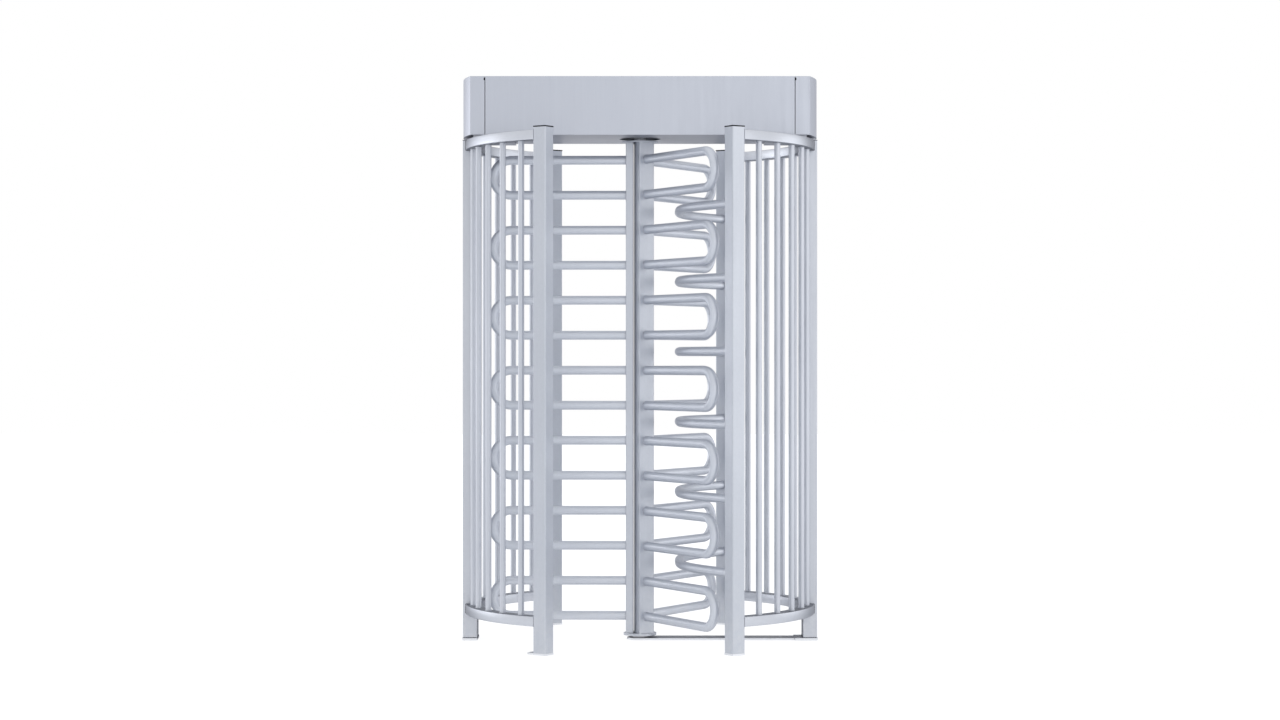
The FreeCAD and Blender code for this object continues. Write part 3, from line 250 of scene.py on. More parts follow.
def makeCloud():
    # slow drift and small mottling between two tones of one finish
    inputs = [
        placeInput,
        ("Light tone", "Color", (0.6, 0.6, 0.6, 1)),
        ("Dark tone", "Color", (0.5, 0.5, 0.5, 1)),
        ("Patches per metre", "Float", 2.5),
        ("Mottles per metre", "Float", 90.0),
        ("Mottling", "Float", 0.35),
    ]
    group, start, end = newGroup("tone drift", inputs, [("Color", "Color")])
    vector = start.outputs["Vector"]
    low, high = cloudMix["low"], cloudMix["high"]
    patches = noise(group, vector, start.outputs["Patches per metre"], detail=3.0)
    mottles = noise(group, vector, start.outputs["Mottles per metre"], detail=5.0, rough=0.65)
    share = start.outputs["Mottling"]
    small = maths(group, "MULTIPLY", spread(group, mottles, low, high), share)
    slow = maths(group, "MULTIPLY", spread(group, patches, low, high), maths(group, "SUBTRACT", 1.0, share))
    drift = maths(group, "ADD", small, slow)
    tone = blendColour(group, drift, start.outputs["Light tone"], start.outputs["Dark tone"])
    link(group, tone, end.inputs["Color"])
    return group


wearMix = {"samples": 4, "flat": 0.97, "edge": 0.84, "low": 0.35, "high": 0.6}


def makeWear():
    # 1 on the edges of bends, plates and bolts, and 0 on flat faces
    inputs = [
        ("Edge width", "Float", 0.002),
        ("Breakup per metre", "Float", 120.0),
        placeInput,
    ]
    group, start, end = newGroup("worn edge", inputs, [("Mask", "Float")])
    bevel = addNode(group, "Bevel", Radius=start.outputs["Edge width"])
    bevel.samples = wearMix["samples"]
    normal = addNode(group, "NewGeometry").outputs["Normal"]
    dot = combine(group, "VectorMath", "DOT_PRODUCT", bevel.outputs[0], normal)
    edge = spread(group, dot.outputs["Value"], wearMix["flat"], wearMix["edge"])
    speckle = noise(group, start.outputs["Vector"], start.outputs["Breakup per metre"])
    broken = spread(group, speckle, wearMix["low"], wearMix["high"])
    link(group, maths(group, "MULTIPLY", edge, broken, clamp=True), end.inputs["Mask"])
    return group


dustMix = {"slope": 0.6, "topShare": 0.6, "patches": 35.0, "low": 0.4, "high": 0.72}


def makeDust():
    # dust that gathers near the floor and on faces that look up
    inputs = [
        placeInput,
        ("Reach", "Float", 0.25),
        ("Amount", "Float", 0.3),
    ]
    group, start, end = newGroup("settled dust", inputs, [("Mask", "Float")])
    place = addNode(group, "SeparateXYZ", Vector=start.outputs["Vector"])
    low = spread(group, place.outputs["Z"], start.outputs["Reach"], 0.0)
    facing = addNode(group, "SeparateXYZ", Vector=addNode(group, "NewGeometry").outputs["Normal"])
    level = spread(group, facing.outputs["Z"], dustMix["slope"], 1.0, 0.0, dustMix["topShare"])
    where = maths(group, "MAXIMUM", low, level)
    patches = noise(group, start.outputs["Vector"], dustMix["patches"], detail=5.0, rough=0.7)
    covered = maths(group, "MULTIPLY", where, spread(group, patches, dustMix["low"], dustMix["high"]))
    link(group, maths(group, "MULTIPLY", covered, start.outputs["Amount"], clamp=True), end.inputs["Mask"])
    return group


pitMix = {"cells": 0.7, "softScale": 0.5, "low": 0.4, "high": 1.2}


def makePits():
    # the skin of castings, moulded plastic and powder coat
    inputs = [
        placeInput,
        ("Pits per metre", "Float", 700.0),
    ]
    outputs = [("Value", "Float"), ("Height", "Float")]
    group, start, end = newGroup("pitted skin", inputs, outputs)
    pits = start.outputs["Pits per metre"]
    cells = addNode(group, "TexVoronoi", Vector=start.outputs["Vector"], Scale=pits)
    cells.feature = "SMOOTH_F1"
    fewer = maths(group, "MULTIPLY", pits, pitMix["softScale"])
    soft = noise(group, start.outputs["Vector"], fewer, detail=3.0)
    height = maths(group, "ADD", maths(group, "MULTIPLY", cells.outputs["Distance"], pitMix["cells"]), soft)
    link(group, spread(group, height, pitMix["low"], pitMix["high"]), end.inputs["Value"])
    link(group, height, end.inputs["Height"])
    return group


groups = {
    "grain": makeGrain(),
    "cloud": makeCloud(),
    "wear": makeWear(),
    "dust": makeDust(),
    "pits": makePits(),
}
print("node groups:", len(groups))


def useGroup(tree, name, **values):
    node = tree.nodes.new("ShaderNodeGroup")
    node.node_tree = groups[name]
    for label, value in values.items():
        feed(tree, value, node.inputs[label.replace("_", " ")])
    return node


def placeVector(tree, source):
    # the piece's own coordinates, or the flow along a tube that its mesh carries
    if source == "flow":
        node = addNode(tree, "UVMap")
        node.uv_map = "flow"
        return node.outputs[0]
    return addNode(tree, "TexCoord").outputs["Object"]


def addBump(tree, shader, height, strength, distance):
    bump = addNode(tree, "Bump", Strength=strength, Distance=distance, Height=height)
    link(tree, bump.outputs[0], shader.inputs["Normal"])


def startFinish(name, finish):
    # a material with its tone drift, and how far its edges are worn
    material = bpy.data.materials.new(name)
    material.use_nodes = True
    tree = material.node_tree
    shader = tree.nodes["Principled BSDF"]
    shader.inputs["Metallic"].default_value = finish["metallic"]
    shader.inputs["Specular IOR Level"].default_value = finish["gloss"]
    own = placeVector(tree, "object")
    values = {
        "Light_tone": (*finish["light"], 1),
        "Dark_tone": (*finish["dark"], 1),
        "Patches_per_metre": finish["patches"],
        "Mottles_per_metre": finish["mottles"],
        "Mottling": finish["mottling"],
    }
    tone = useGroup(tree, "cloud", Vector=own, **values).outputs["Color"]
    wear = useGroup(tree, "wear", Vector=own, Edge_width=finish["edge"])
    edges = maths(tree, "MULTIPLY", wear.outputs["Mask"], finish["wornShare"])
    return material, tree, shader, own, tone, edges


steelFinish = {
    "light": (0.588, 0.611, 0.660),
    "dark": (0.520, 0.542, 0.590),
    "worn": (0.700, 0.720, 0.770),
    "dust": (0.700, 0.700, 0.710),
    "metallic": 0.65,
    "gloss": 0.2,
    "rough": (0.30, 0.44),
    "grazing": (0.42, 0.42, 0.45),
    "lines": 900.0,
    "bump": 0.10,
    "patches": 1.8,
    "mottles": 85.0,
    "mottling": 0.35,
    "dustReach": 0.40,
    "dustAmount": 0.40,
    "dustRough": 0.9,
    "edge": 0.0015,
    "wornShare": 0.6,
    "line": (0.40, 0.42, 0.48),
    "lineShare": 0.10,
    "bumpDepth": 0.0004,
}


def makeSteel(name, along, source="object", **changes):
    finish = {**steelFinish, **changes}
    material, tree, shader, own, tone, edges = startFinish(name, finish)
    flow = placeVector(tree, source)
    grain = useGroup(tree, "grain", Vector=flow, Along=along, Lines_per_metre=finish["lines"])
    dust = useGroup(tree, "dust", Vector=own, Reach=finish["dustReach"], Amount=finish["dustAmount"])
    lines = maths(tree, "MULTIPLY", grain.outputs["Grain"], finish["lineShare"])
    lined = blendColour(tree, lines, tone, (*finish["line"], 1))
    worn = blendColour(tree, edges, lined, (*finish["worn"], 1))
    dusty = blendColour(tree, dust.outputs["Mask"], worn, (*finish["dust"], 1))
    link(tree, dusty, shader.inputs["Base Color"])
    rough = spread(tree, grain.outputs["Grain"], 0.0, 1.0, *finish["rough"])
    dull = maths(tree, "MULTIPLY", dust.outputs["Mask"], finish["dustRough"])
    link(tree, maths(tree, "MAXIMUM", rough, dull), shader.inputs["Roughness"])
    shader.inputs["Specular Tint"].default_value = (*finish["grazing"], 1)
    addBump(tree, shader, grain.outputs["Height"], finish["bump"], finish["bumpDepth"])
    return material


alongX = (0.03, 1, 1)
alongZ = (1, 1, 0.03)
alongLevel = (0.03, 0.03, 1)
plainMetal = {"grazing": (0.05, 0.05, 0.06), "metallic": 0.92, "gloss": 0.05}
materials = {
    "post": makeSteel("post_satin", alongZ),
    "sidePost": makeSteel(
        "side_post_satin", alongZ, light=(0.555, 0.577, 0.626), dark=(0.500, 0.521, 0.569), **plainMetal,
    ),
    "rail": makeSteel(
        "rail_satin", alongLevel, light=(0.62, 0.642, 0.695), dark=(0.56, 0.582, 0.635),
        grazing=(0.14, 0.14, 0.15), metallic=0.92, gloss=0.05, dustAmount=0.12,
    ),
    "bar": makeSteel(
        "bar_satin", alongZ, light=(0.62, 0.64, 0.69), dark=(0.545, 0.565, 0.615), rough=(0.33, 0.41),
        bump=0.02, mottling=0.15,
    ),
    "tube": makeSteel(
        "tube_satin", (1, 0.03, 1), source="flow", light=(0.685, 0.71, 0.765), dark=(0.615, 0.64, 0.695),
        grazing=(0.45, 0.45, 0.48), rough=(0.38, 0.46), bump=0.04,
    ),
    "column": makeSteel("column_satin", alongZ),
    # much lighter than the other steel: painted light that lifts the shaft out of the shade of the gap
    # between the uprights
    "shaft": makeSteel(
        "shaft_painted_light", alongZ, light=(0.86, 0.88, 0.93), dark=(0.76, 0.78, 0.84), grazing=(0.8, 0.8, 0.82),
        metallic=0.4, edge=0.0008,
    ),
    "sheet": makeSteel(
        "header_satin", alongZ, light=(0.538, 0.558, 0.613), dark=(0.513, 0.533, 0.588), lines=260.0,
        mottling=0.12, patches=1.2,
    ),
    "tray": makeSteel("tray_satin", alongX, light=(0.48, 0.49, 0.53), dark=(0.44, 0.45, 0.49), mottling=0.2),
    "plate": makeSteel(
        "plate_satin", alongX, light=(0.84, 0.855, 0.89), dark=(0.74, 0.755, 0.79), worn=(0.90, 0.91, 0.93),
        rough=(0.30, 0.42), mottling=0.5, dustAmount=0.15, **plainMetal,
    ),
    "inner": makeSteel(
        "inner_plate", alongX, light=(0.60, 0.62, 0.66), dark=(0.50, 0.52, 0.57), rough=(0.36, 0.54),
        mottles=140.0, mottling=0.5, dustAmount=0.1,
    ),
    "machined": makeSteel(
        "turned_steel", (1, 1, 1), light=(0.54, 0.54, 0.56), dark=(0.44, 0.44, 0.46), metallic=0.95,
        rough=(0.30, 0.40), lines=1500.0, bump=0.03, dustAmount=0.0,
    ),
    "zinc": makeSteel(
        "zinc_plated", (1, 1, 1), light=(0.66, 0.68, 0.72), dark=(0.50, 0.53, 0.60), metallic=0.85,
        rough=(0.28, 0.45), lines=600.0, mottles=260.0, mottling=0.6, dustAmount=0.1,
    ),
    "weld": makeSteel(
        "weld_bead", (1, 1, 1), light=(0.60, 0.62, 0.67), dark=(0.48, 0.495, 0.53), metallic=0.65,
        rough=(0.36, 0.52), lines=500.0, mottles=300.0, mottling=0.7,
    ),
    # near-black weld beads: painted shade, the dark shadow lines where the rails end at the side posts and
    # round the side posts' foot and head
    "weldPaintedShade": makeSteel(
        "weld_painted_shade", (1, 1, 1), light=(0.13, 0.13, 0.15), dark=(0.06, 0.06, 0.07),
        worn=(0.17, 0.17, 0.19), grazing=(0.05, 0.05, 0.06), metallic=0.6, gloss=0.1, rough=(0.40, 0.56),
        lines=500.0, mottles=300.0, mottling=0.7, dustAmount=0.0,
    ),
}


skinFinish = {
    "metallic": 0.0,
    "gloss": 0.5,
    "bump": 0.25,
    "bumpDepth": 0.0005,
    "patches": 9.0,
    "mottles": 180.0,
    "mottling": 0.4,
    "edge": 0.001,
    "wornShare": 0.55,
    "wornGain": 1.6,
    "wornLift": 0.03,
}


def makeSkin(name, **changes):
    # castings, moulded plastic and powder coat
    finish = {**skinFinish, **changes}
    material, tree, shader, own, tone, edges = startFinish(name, finish)
    skin = useGroup(tree, "pits", Vector=own, Pits_per_metre=finish["pits"])
    edgeTone = [min(1.0, channel * finish["wornGain"] + finish["wornLift"]) for channel in finish["light"]]
    worn = blendColour(tree, edges, tone, (*edgeTone, 1))
    link(tree, worn, shader.inputs["Base Color"])
    link(tree, spread(tree, skin.outputs["Value"], 0.0, 1.0, *finish["rough"]), shader.inputs["Roughness"])
    addBump(tree, shader, skin.outputs["Height"], finish["bump"], finish["bumpDepth"])
    return material


materials["plastic"] = makeSkin(
    "moulded_plastic", light=(0.060, 0.064, 0.072), dark=(0.040, 0.043, 0.050), rough=(0.42, 0.6),
    pits=1400.0,
)
materials["cap"] = makeSkin(
    "cap_plastic", light=(0.016, 0.017, 0.019), dark=(0.010, 0.011, 0.013), rough=(0.5, 0.65), pits=1400.0,
    gloss=0.1, wornShare=0.15,
)
materials["cast"] = makeSkin(
    "cast_iron_paint", light=(0.23, 0.26, 0.29), dark=(0.17, 0.19, 0.22), rough=(0.45, 0.65), pits=500.0,
    metallic=0.2, bump=0.5,
)
materials["drive"] = makeSkin(
    "drive_paint", light=(0.15, 0.17, 0.19), dark=(0.11, 0.12, 0.14), rough=(0.35, 0.55), pits=900.0,
    metallic=0.1,
)
materials["case"] = makeSkin(
    "unit_coat", light=(0.62, 0.65, 0.70), dark=(0.55, 0.58, 0.63), rough=(0.4, 0.58), pits=1100.0,
)
materials["bronze"] = makeSteel(
    "bronze", (1, 1, 1), light=(0.60, 0.42, 0.20), dark=(0.44, 0.29, 0.13), worn=(0.74, 0.56, 0.30),
    metallic=0.95, rough=(0.25, 0.4), lines=1500.0, dustAmount=0.0,
)
print("materials:", len(materials))

pieceCount = 0
up = Vector((0, 0, 1))
soften = {"sharp": 38, "merge": 0.00002, "bevelFrom": 40, "segments": 2}


def finishPiece(name, bm, material, replaced=(), body="frame"):
    # pieces are built in millimetres and end up in metres
    global pieceCount
    bmesh.ops.scale(bm, vec=(0.001, 0.001, 0.001), verts=bm.verts)
    bmesh.ops.recalc_face_normals(bm, faces=bm.faces)
    mesh = bpy.data.meshes.new(name)
    bm.to_mesh(mesh)
    bm.free()
    mesh.shade_smooth()
    mesh.set_sharp_from_angle(angle=math.radians(soften["sharp"]))
    mesh.materials.append(materials[material])
    piece = addItem(name, mesh)
    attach(piece, body)
    if replaced:
        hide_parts(*replaced)
    pieceCount += 1


def turned(point, degrees):
    angle = math.radians(degrees)
    x, y, z = point
    return Vector((x * math.cos(angle) - y * math.sin(angle), x * math.sin(angle) + y * math.cos(angle), z))


def across(axis):
    # two directions square to an axis and to each other
    axis = Vector(axis).normalized()
    helper = up if abs(axis.z) < 0.9 else Vector((1, 0, 0))
    first = axis.cross(helper).normalized()
    return first, axis.cross(first).normalized()


def circle(centre, first, second, radius, count):
    step = 2 * math.pi / count
    return [
        centre + first * (radius * math.cos(n * step)) + second * (radius * math.sin(n * step))
        for n in range(count)
    ]


def ringOf(bm, centre, first, second, radius, count):
    return [bm.verts.new(point) for point in circle(centre, first, second, radius, count)]


def bridge(bm, rings, closed=False):
    pairs = list(zip(rings, rings[1:]))
    if closed:
        pairs.append((rings[-1], rings[0]))
    faces = []
    for low, high in pairs:
        count = len(low)
        for n in range(count):
            after = (n + 1) % count
            faces.append(bm.faces.new((low[n], low[after], high[after], high[n])))
    return faces


def closeEnds(bm, rings):
    bm.faces.new(rings[0][::-1])
    bm.faces.new(rings[-1])


def tubeAlong(bm, path, planeNormal, radius, sides):
    # path is a list of (point, direction). The flow layer keeps the way round and the way along.
    flow = bm.loops.layers.uv.get("flow") or bm.loops.layers.uv.new("flow")
    rings = []
    for point, direction in path:
        side = planeNormal.cross(direction).normalized()
        rings.append(ringOf(bm, point, side, planeNormal, radius, sides))
    lengths = [0.0]
    for (point, _), (after, _) in zip(path, path[1:]):
        lengths.append(lengths[-1] + (after - point).length)
    girth = 2 * math.pi * radius / 1000
    for number, face in enumerate(bridge(bm, rings)):
        row, column = divmod(number, sides)
        near, far = lengths[row] / 1000, lengths[row + 1] / 1000
        left, right = girth * column / sides, girth * (column + 1) / sides
        for loop, place in zip(face.loops, ((left, near), (right, near), (right, far), (left, far))):
            loop[flow].uv = place
    closeEnds(bm, rings)


def arcPath(centre, first, second, radius, start, turn, steps):
    # points and directions of an arc from an angle through a turn, in the plane of two directions
    path = []
    sign = 1 if turn > 0 else -1
    for n in range(steps + 1):
        angle = math.radians(start + turn * n / steps)
        point = centre + first * (radius * math.cos(angle)) + second * (radius * math.sin(angle))
        direction = (second * math.cos(angle) - first * math.sin(angle)) * sign
        path.append((point, direction))
    return path


weld = {
    "bead": 1.5,
    "ripplePitch": 5.0,
    "rippleDepth": 0.16,
    "sides": 7,
    "fewestRound": 8,
    "fewestAlong": 2,
}


def beadAlong(bm, points, closed, bead=None):
    # a weld bead laid along points, thicker and thinner as it was run
    bead = bead or weld["bead"]
    count = len(points)
    rings = []
    for n, point in enumerate(points):
        before = points[n - 1] if closed or n else point
        after = points[(n + 1) % count] if closed or n < count - 1 else point
        swell = 1 + weld["rippleDepth"] * (1 if n % 2 else -1)
        rings.append(ringOf(bm, point, *across(after - before), bead * swell, weld["sides"]))
    bridge(bm, rings, closed)
    if not closed:
        closeEnds(bm, rings)


def beadRound(bm, centre, axis, radius, bead=None):
    count = 2 * max(weld["fewestRound"], round(math.pi * radius / weld["ripplePitch"]))
    beadAlong(bm, circle(Vector(centre), *across(axis), radius, count), True, bead)


def beadLine(bm, start, end, bead=None):
    start, end = Vector(start), Vector(end)
    count = 2 * max(weld["fewestAlong"], round((end - start).length / weld["ripplePitch"] / 2))
    beadAlong(bm, [start.lerp(end, n / count) for n in range(count + 1)], False, bead)


def turnedPiece(bm, centre, axis, section, sides=32):
    # a turned shape: section is a list of (radius, height), and a radius of 0 closes it with a tip
    axis = Vector(axis).normalized()
    first, second = across(axis)
    rings = []
    tips = []
    for radius, height in section:
        point = Vector(centre) + axis * height
        if radius:
            rings.append(ringOf(bm, point, first, second, radius, sides))
        else:
            tips.append((len(rings), bm.verts.new(point)))
    bridge(bm, rings)
    for place, tip in tips:
        ring = rings[0] if place == 0 else rings[-1]
        for n in range(sides):
            bm.faces.new((tip, ring[n], ring[(n + 1) % sides]))


hexBolt = {
    "chamfer": 0.86,
    "width": 1.6,
    "height": 0.75,
    "washer": 1.05,
    "washerThick": 1.8,
    "washerEdge": 0.4,
    "threadPitch": 1.5,
    "threadRoot": 0.88,
    "threadSides": 20,
    "tip": 0.8,
}


def hexHead(bm, centre, axis, width, height):
    # a six-sided head with its corners chamfered on top
    reach = width / 2 / math.cos(math.pi / 6)
    share = hexBolt["chamfer"]
    section = [(0, 0), (reach, 0), (reach, height * share), (reach * share, height), (0, height)]
    turnedPiece(bm, centre, axis, section, 6)


def boltWithWasher(bm, centre, axis, thread, stud=0.0):
    axis = Vector(axis).normalized()
    centre = Vector(centre)
    wide, thick, edge = thread * hexBolt["washer"], hexBolt["washerThick"], hexBolt["washerEdge"]
    turnedPiece(bm, centre, axis, [(0, 0), (wide, 0), (wide, thick - edge), (wide - edge, thick), (0, thick)])
    height = thread * hexBolt["height"]
    hexHead(bm, centre + axis * thick, axis, thread * hexBolt["width"], height)
    if stud:
        top = thick + height
        radius = thread / 2
        section = [(0, top - 1), (radius, top - 1)]
        turns = max(2, int(stud / hexBolt["threadPitch"]))
        for n in range(turns):
            section.append((radius * hexBolt["threadRoot"], top + stud * (n + 0.5) / turns))
            section.append((radius, top + stud * (n + 1) / turns))
        end = top + stud + hexBolt["tip"]
        section += [(radius * hexBolt["tip"], end), (0, end)]
        turnedPiece(bm, centre, axis, section, hexBolt["threadSides"])


button = {
    "dome": 0.55,
    "steps": 6,
    "sides": 24,
    "socket": 0.42,
    "rim": 1.15,
    "rimDrop": 0.2,
    "socketFoot": 0.35,
}


def buttonScrew(bm, centre, axis, radius):
    # a domed head with a round socket
    socket = radius * button["socket"]
    dome = [(radius, 0)]
    for n in range(1, button["steps"]):
        angle = math.radians(90 * n / button["steps"])
        dome.append((radius * math.cos(angle), radius * button["dome"] * math.sin(angle)))
    top = dome[-1][1]
    foot = top * button["socketFoot"]
    well = [(socket * button["rim"], top), (socket, top - button["rimDrop"]), (socket, foot), (0, foot)]
    turnedPiece(bm, centre, axis, [(0, 0), *dome, *well], button["sides"])


def softBox(bm, low, high, edge):
    made = bmesh.ops.create_cube(bm, size=1)["verts"]
    low, high = Vector(low), Vector(high)
    for vert in made:
        vert.co = Vector([low[n] + (vert.co[n] + 0.5) * (high[n] - low[n]) for n in range(3)])
    edges = list({line for vert in made for line in vert.link_edges})
    bmesh.ops.bevel(bm, geom=edges, offset=edge, segments=soften["segments"], profile=0.5, affect="EDGES")


def softenNode(name, edge):
    # rounds the crisp edges of a CAD node with modifiers only
    node = nodes[name]
    node.modifiers.new("merge", "WELD").merge_threshold = soften["merge"]
    bevel = node.modifiers.new("edges", "BEVEL")
    bevel.width = edge / 1000
    bevel.segments = soften["segments"]
    bevel.limit_method = "ANGLE"
    bevel.angle_limit = math.radians(soften["bevelFrom"])
    bevel.harden_normals = False
    node.modifiers.new("normals", "WEIGHTED_NORMAL").keep_sharp = False


def dress(material, names, edge=0.0):
    for name in names:
        node = nodes[name]
        for holder in node.material_slots:
            holder.material = materials[material]
        if edge:
            softenNode(name, edge)


cage = {
    "radius": 715.0,
    "postSize": 60.0,
    "leftAngle": 56.8,
    "rightAngle": 57.6,
    "barRadius": 12.5,
    "barCount": 5,
    "barLead": 20.0,
    "railHeight": 40.0,
    "lowerRail": 115.0,
    "upperRail": 2087.0,
    "railEdge": 3.0,
    "railSteps": 26,
    "sidePostFace": 60.0,
    "footThick": 8.0,
    "postTop": 2137.0,
    "sides": 28,
    "weldRise": 0.4,
    "weldGrow": 0.3,
}
bays = {"front_left": (-1, -1), "rear_left": (-1, 1), "front_right": (1, -1), "rear_right": (1, 1)}


def railCorners():
    # the rail's section as distance from the axis and height
    near, far = cage["radius"] - cage["postSize"] / 2, cage["radius"] + cage["postSize"] / 2
    return [(near, 0), (far, 0), (far, cage["railHeight"]), (near, cage["railHeight"])]


def railSection():
    edge = cage["railEdge"]
    section = []
    inward = [(1, 1), (-1, 1), (-1, -1), (1, -1)]
    for number, ((x, z), (inX, inZ)) in enumerate(zip(railCorners(), inward)):
        for n in range(4):
            angle = math.radians(180 + 90 * number + 30 * n)
            section.append((x + inX * edge + edge * math.cos(angle), z + inZ * edge + edge * math.sin(angle)))
    return section


def bayAngle(bay):
    return cage["leftAngle"] if bays[bay][0] < 0 else cage["rightAngle"]


def buildRail(bay, level, endWelds, postWelds):
    signX, signY = bays[bay]
    bottom = cage[f"{level}Rail"]
    bm = bmesh.new()

    def placeAt(radius, height, share):
        # share 0 is at the side post's face, 1 at the cage post's
        first = math.asin(cage["sidePostFace"] / radius)
        last = math.radians(bayAngle(bay)) - math.asin(cage["postSize"] / 2 / radius)
        turn = first + (last - first) * share
        return Vector((signX * radius * math.cos(turn), signY * radius * math.sin(turn), bottom + height))

    rings = []
    for step in range(cage["railSteps"] + 1):
        share = step / cage["railSteps"]
        rings.append([bm.verts.new(placeAt(radius, height, share)) for radius, height in railSection()])
    bridge(bm, rings)
    closeEnds(bm, rings)
    finishPiece(f"rail_{level}_{bay}", bm, "rail", [f"{level}_rail_{bay}"])
    corners = railCorners()
    for share, welds in ((0, endWelds), (1, postWelds)):
        for corner, after in zip(corners, corners[1:] + corners[:1]):
            beadLine(welds, placeAt(*corner, share), placeAt(*after, share))


def buildBars(bay):
    signX, signY = bays[bay]
    low = cage["lowerRail"] + cage["railHeight"]
    high = cage["upperRail"]
    lead = cage["barLead"]
    bm = bmesh.new()
    welds = bmesh.new()
    for number in range(1, cage["barCount"] + 1):
        turn = math.radians(cage["leftAngle"] / (cage["barCount"] + 1) * number)
        x = signX * cage["radius"] * math.cos(turn)
        y = signY * cage["radius"] * math.sin(turn)
        path = [(Vector((x, y, z)), up) for z in (low, low + lead, high - lead, high)]
        tubeAlong(bm, path, Vector((1, 0, 0)), cage["barRadius"], cage["sides"])
        for z in (low + cage["weldRise"], high - cage["weldRise"]):
            beadRound(welds, (x, y, z), up, cage["barRadius"] + cage["weldGrow"])
    finishPiece(f"bars_{bay}", bm, "bar", [f"cage_bars_{bay}"])
    finishPiece(f"bar_welds_{bay}", welds, "weld")


def postTurn(bay):
    signX, signY = bays[bay]
    return (bayAngle(bay) if signX > 0 else 180 - bayAngle(bay)) * signY


cap = {"thick": 5.0, "edge": 0.8, "plugInset": 3.6, "plugDepth": 12.0, "plugRise": 1.0, "plugEdge": 0.6}


def buildCap(bm, turn):
    # a moulded cap with a rolled edge, and the plug that holds it in the post
    half = cage["postSize"] / 2
    plug = half - cap["plugInset"]
    middle, base = cage["radius"], cage["postTop"]
    shape = bmesh.new()
    softBox(shape, (middle - half, -half, base), (middle + half, half, base + cap["thick"]), cap["edge"])
    low = (middle - plug, -plug, base - cap["plugDepth"])
    softBox(shape, low, (middle + plug, plug, base + cap["plugRise"]), cap["plugEdge"])
    bmesh.ops.rotate(shape, verts=shape.verts, matrix=Matrix.Rotation(math.radians(turn), 3, "Z"))
    copyInto(bm, shape)


def copyInto(bm, shape):
    # adds one bmesh to another and frees it
    mesh = bpy.data.meshes.new("part")
    shape.to_mesh(mesh)
    shape.free()
    bm.from_mesh(mesh)
    bpy.data.meshes.remove(mesh)


def squareWeld(bm, left, right, low, high, z, turn=0.0, bead=None):
    corners = [(left, low), (right, low), (right, high), (left, high)]
    for number, (x, y) in enumerate(corners):
        endX, endY = corners[(number + 1) % 4]
        beadLine(bm, turned((x, y, z), turn), turned((endX, endY, z), turn), bead)


def buildCage():
    endWelds, postWelds = bmesh.new(), bmesh.new()
    for bay in bays:
        buildBars(bay)
        buildRail(bay, "lower", endWelds, postWelds)
        buildRail(bay, "upper", endWelds, postWelds)
    # these beads carry the near-black painted shade of the shadow line where each rail ends at a side post
    finishPiece("rail_end_welds", endWelds, "weldPaintedShade")
    finishPiece("rail_post_welds", postWelds, "weld")
    caps = bmesh.new()
    for bay in bays:
        buildCap(caps, postTurn(bay))
    finishPiece("caps", caps, "cap", ["post_caps"])
    dress("post", [f"{bay}_post" for bay in bays], edge=0.6)
    dress("plate", ["post_feet"], edge=0.8)


buildCage()
print("cage built")

sidePost = {
    "inner": 695.0,
    "outer": 755.0,
    "half": 60.0,
    "headWeld": 2130.6,
    "footWeld": 10.2,
    "footBead": 3.2,
    "footSunk": 2.0,
}


def buildSides():
    welds = bmesh.new()
    half, sunk = sidePost["half"], sidePost["footSunk"]
    for sign in (-1, 1):
        left, right = sorted((sign * sidePost["inner"], sign * sidePost["outer"]))
        edges = (left + sunk, right - sunk, sunk - half, half - sunk)
        squareWeld(welds, *edges, sidePost["footWeld"], bead=sidePost["footBead"])
        squareWeld(welds, left, right, -half, half, sidePost["headWeld"])
    # near-black beads: painted shade along the side posts' foot and head joints
    finishPiece("side_post_welds", welds, "weldPaintedShade")
    dress("sidePost", ["side_post_left", "side_post_right"], edge=0.6)
    dress("plate", ["side_post_feet", "floor_strip"], edge=0.6)
    dress("tray", ["head_plates"], edge=0.6)


buildSides()
print("sides built")

fixings = {
    "tabReach": 48.0,
    "tabHole": 6.5,
    "sideFootTop": 10.0,
    "sideFootHole": 7.0,
    "sideFootPlace": 677.0,
    "sideFootSpread": 45.0,
    "stripTop": 8.0,
    "stripHole": 6.0,
    "stripPlaces": (200.0, 600.0),
    "fit": 0.25,
    "sunk": 0.6,
    "foot": 1.0,
    "chamfer": 0.5,
    "rim": 0.62,
    "rimDrop": 0.01,
    "socketLap": 0.7,
    "socket": 0.6,
    "socketFoot": 0.5,
    "socketDeep": 3.0,
}


def flushAnchor(bm, x, y, top, hole):
    # an anchor screw that ends just under the plate's top, with a six-sided socket
    radius = hole - fixings["fit"]
    head = top - fixings["sunk"]
    rim, edge = radius * fixings["rim"], fixings["chamfer"]
    section = [(0, fixings["foot"]), (radius, fixings["foot"]), (radius, head - edge), (radius - edge, head)]
    turnedPiece(bm, (x, y, 0), up, [*section, (rim, head), (rim, head - fixings["rimDrop"])])
    shares = (fixings["socketLap"], fixings["socket"], fixings["socketFoot"], 0)
    bottom = head - fixings["socketDeep"]
    socket = [(radius * share, height) for share, height in zip(shares, (head, head, bottom, bottom))]
    turnedPiece(bm, (x, y, 0), up, socket, 6)


def buildFixings():
    bm = bmesh.new()
    for bay, side in (("front_left", -1), ("rear_left", 1)):
        place = turned((cage["radius"], side * fixings["tabReach"], 0), postTurn(bay))
        flushAnchor(bm, place.x, place.y, cage["footThick"], fixings["tabHole"])
    for side in (-1, 1):
        y = side * fixings["sideFootSpread"]
        flushAnchor(bm, fixings["sideFootPlace"], y, fixings["sideFootTop"], fixings["sideFootHole"])
    for x in fixings["stripPlaces"]:
        flushAnchor(bm, x, 0, fixings["stripTop"], fixings["stripHole"])
    finishPiece("flush_anchors", bm, "zinc")


buildFixings()
print("fixings built")

comb = {
    "radius": 19.0,
    "nose": 168.5,
    "bend": 700.0,
    "first": 330.0,
    "pitch": 300.0,
    "count": 6,
    "sides": 32,
    "steps": 12,
    "weldSunk": 0.8,
    "weldGrow": 0.4,
}


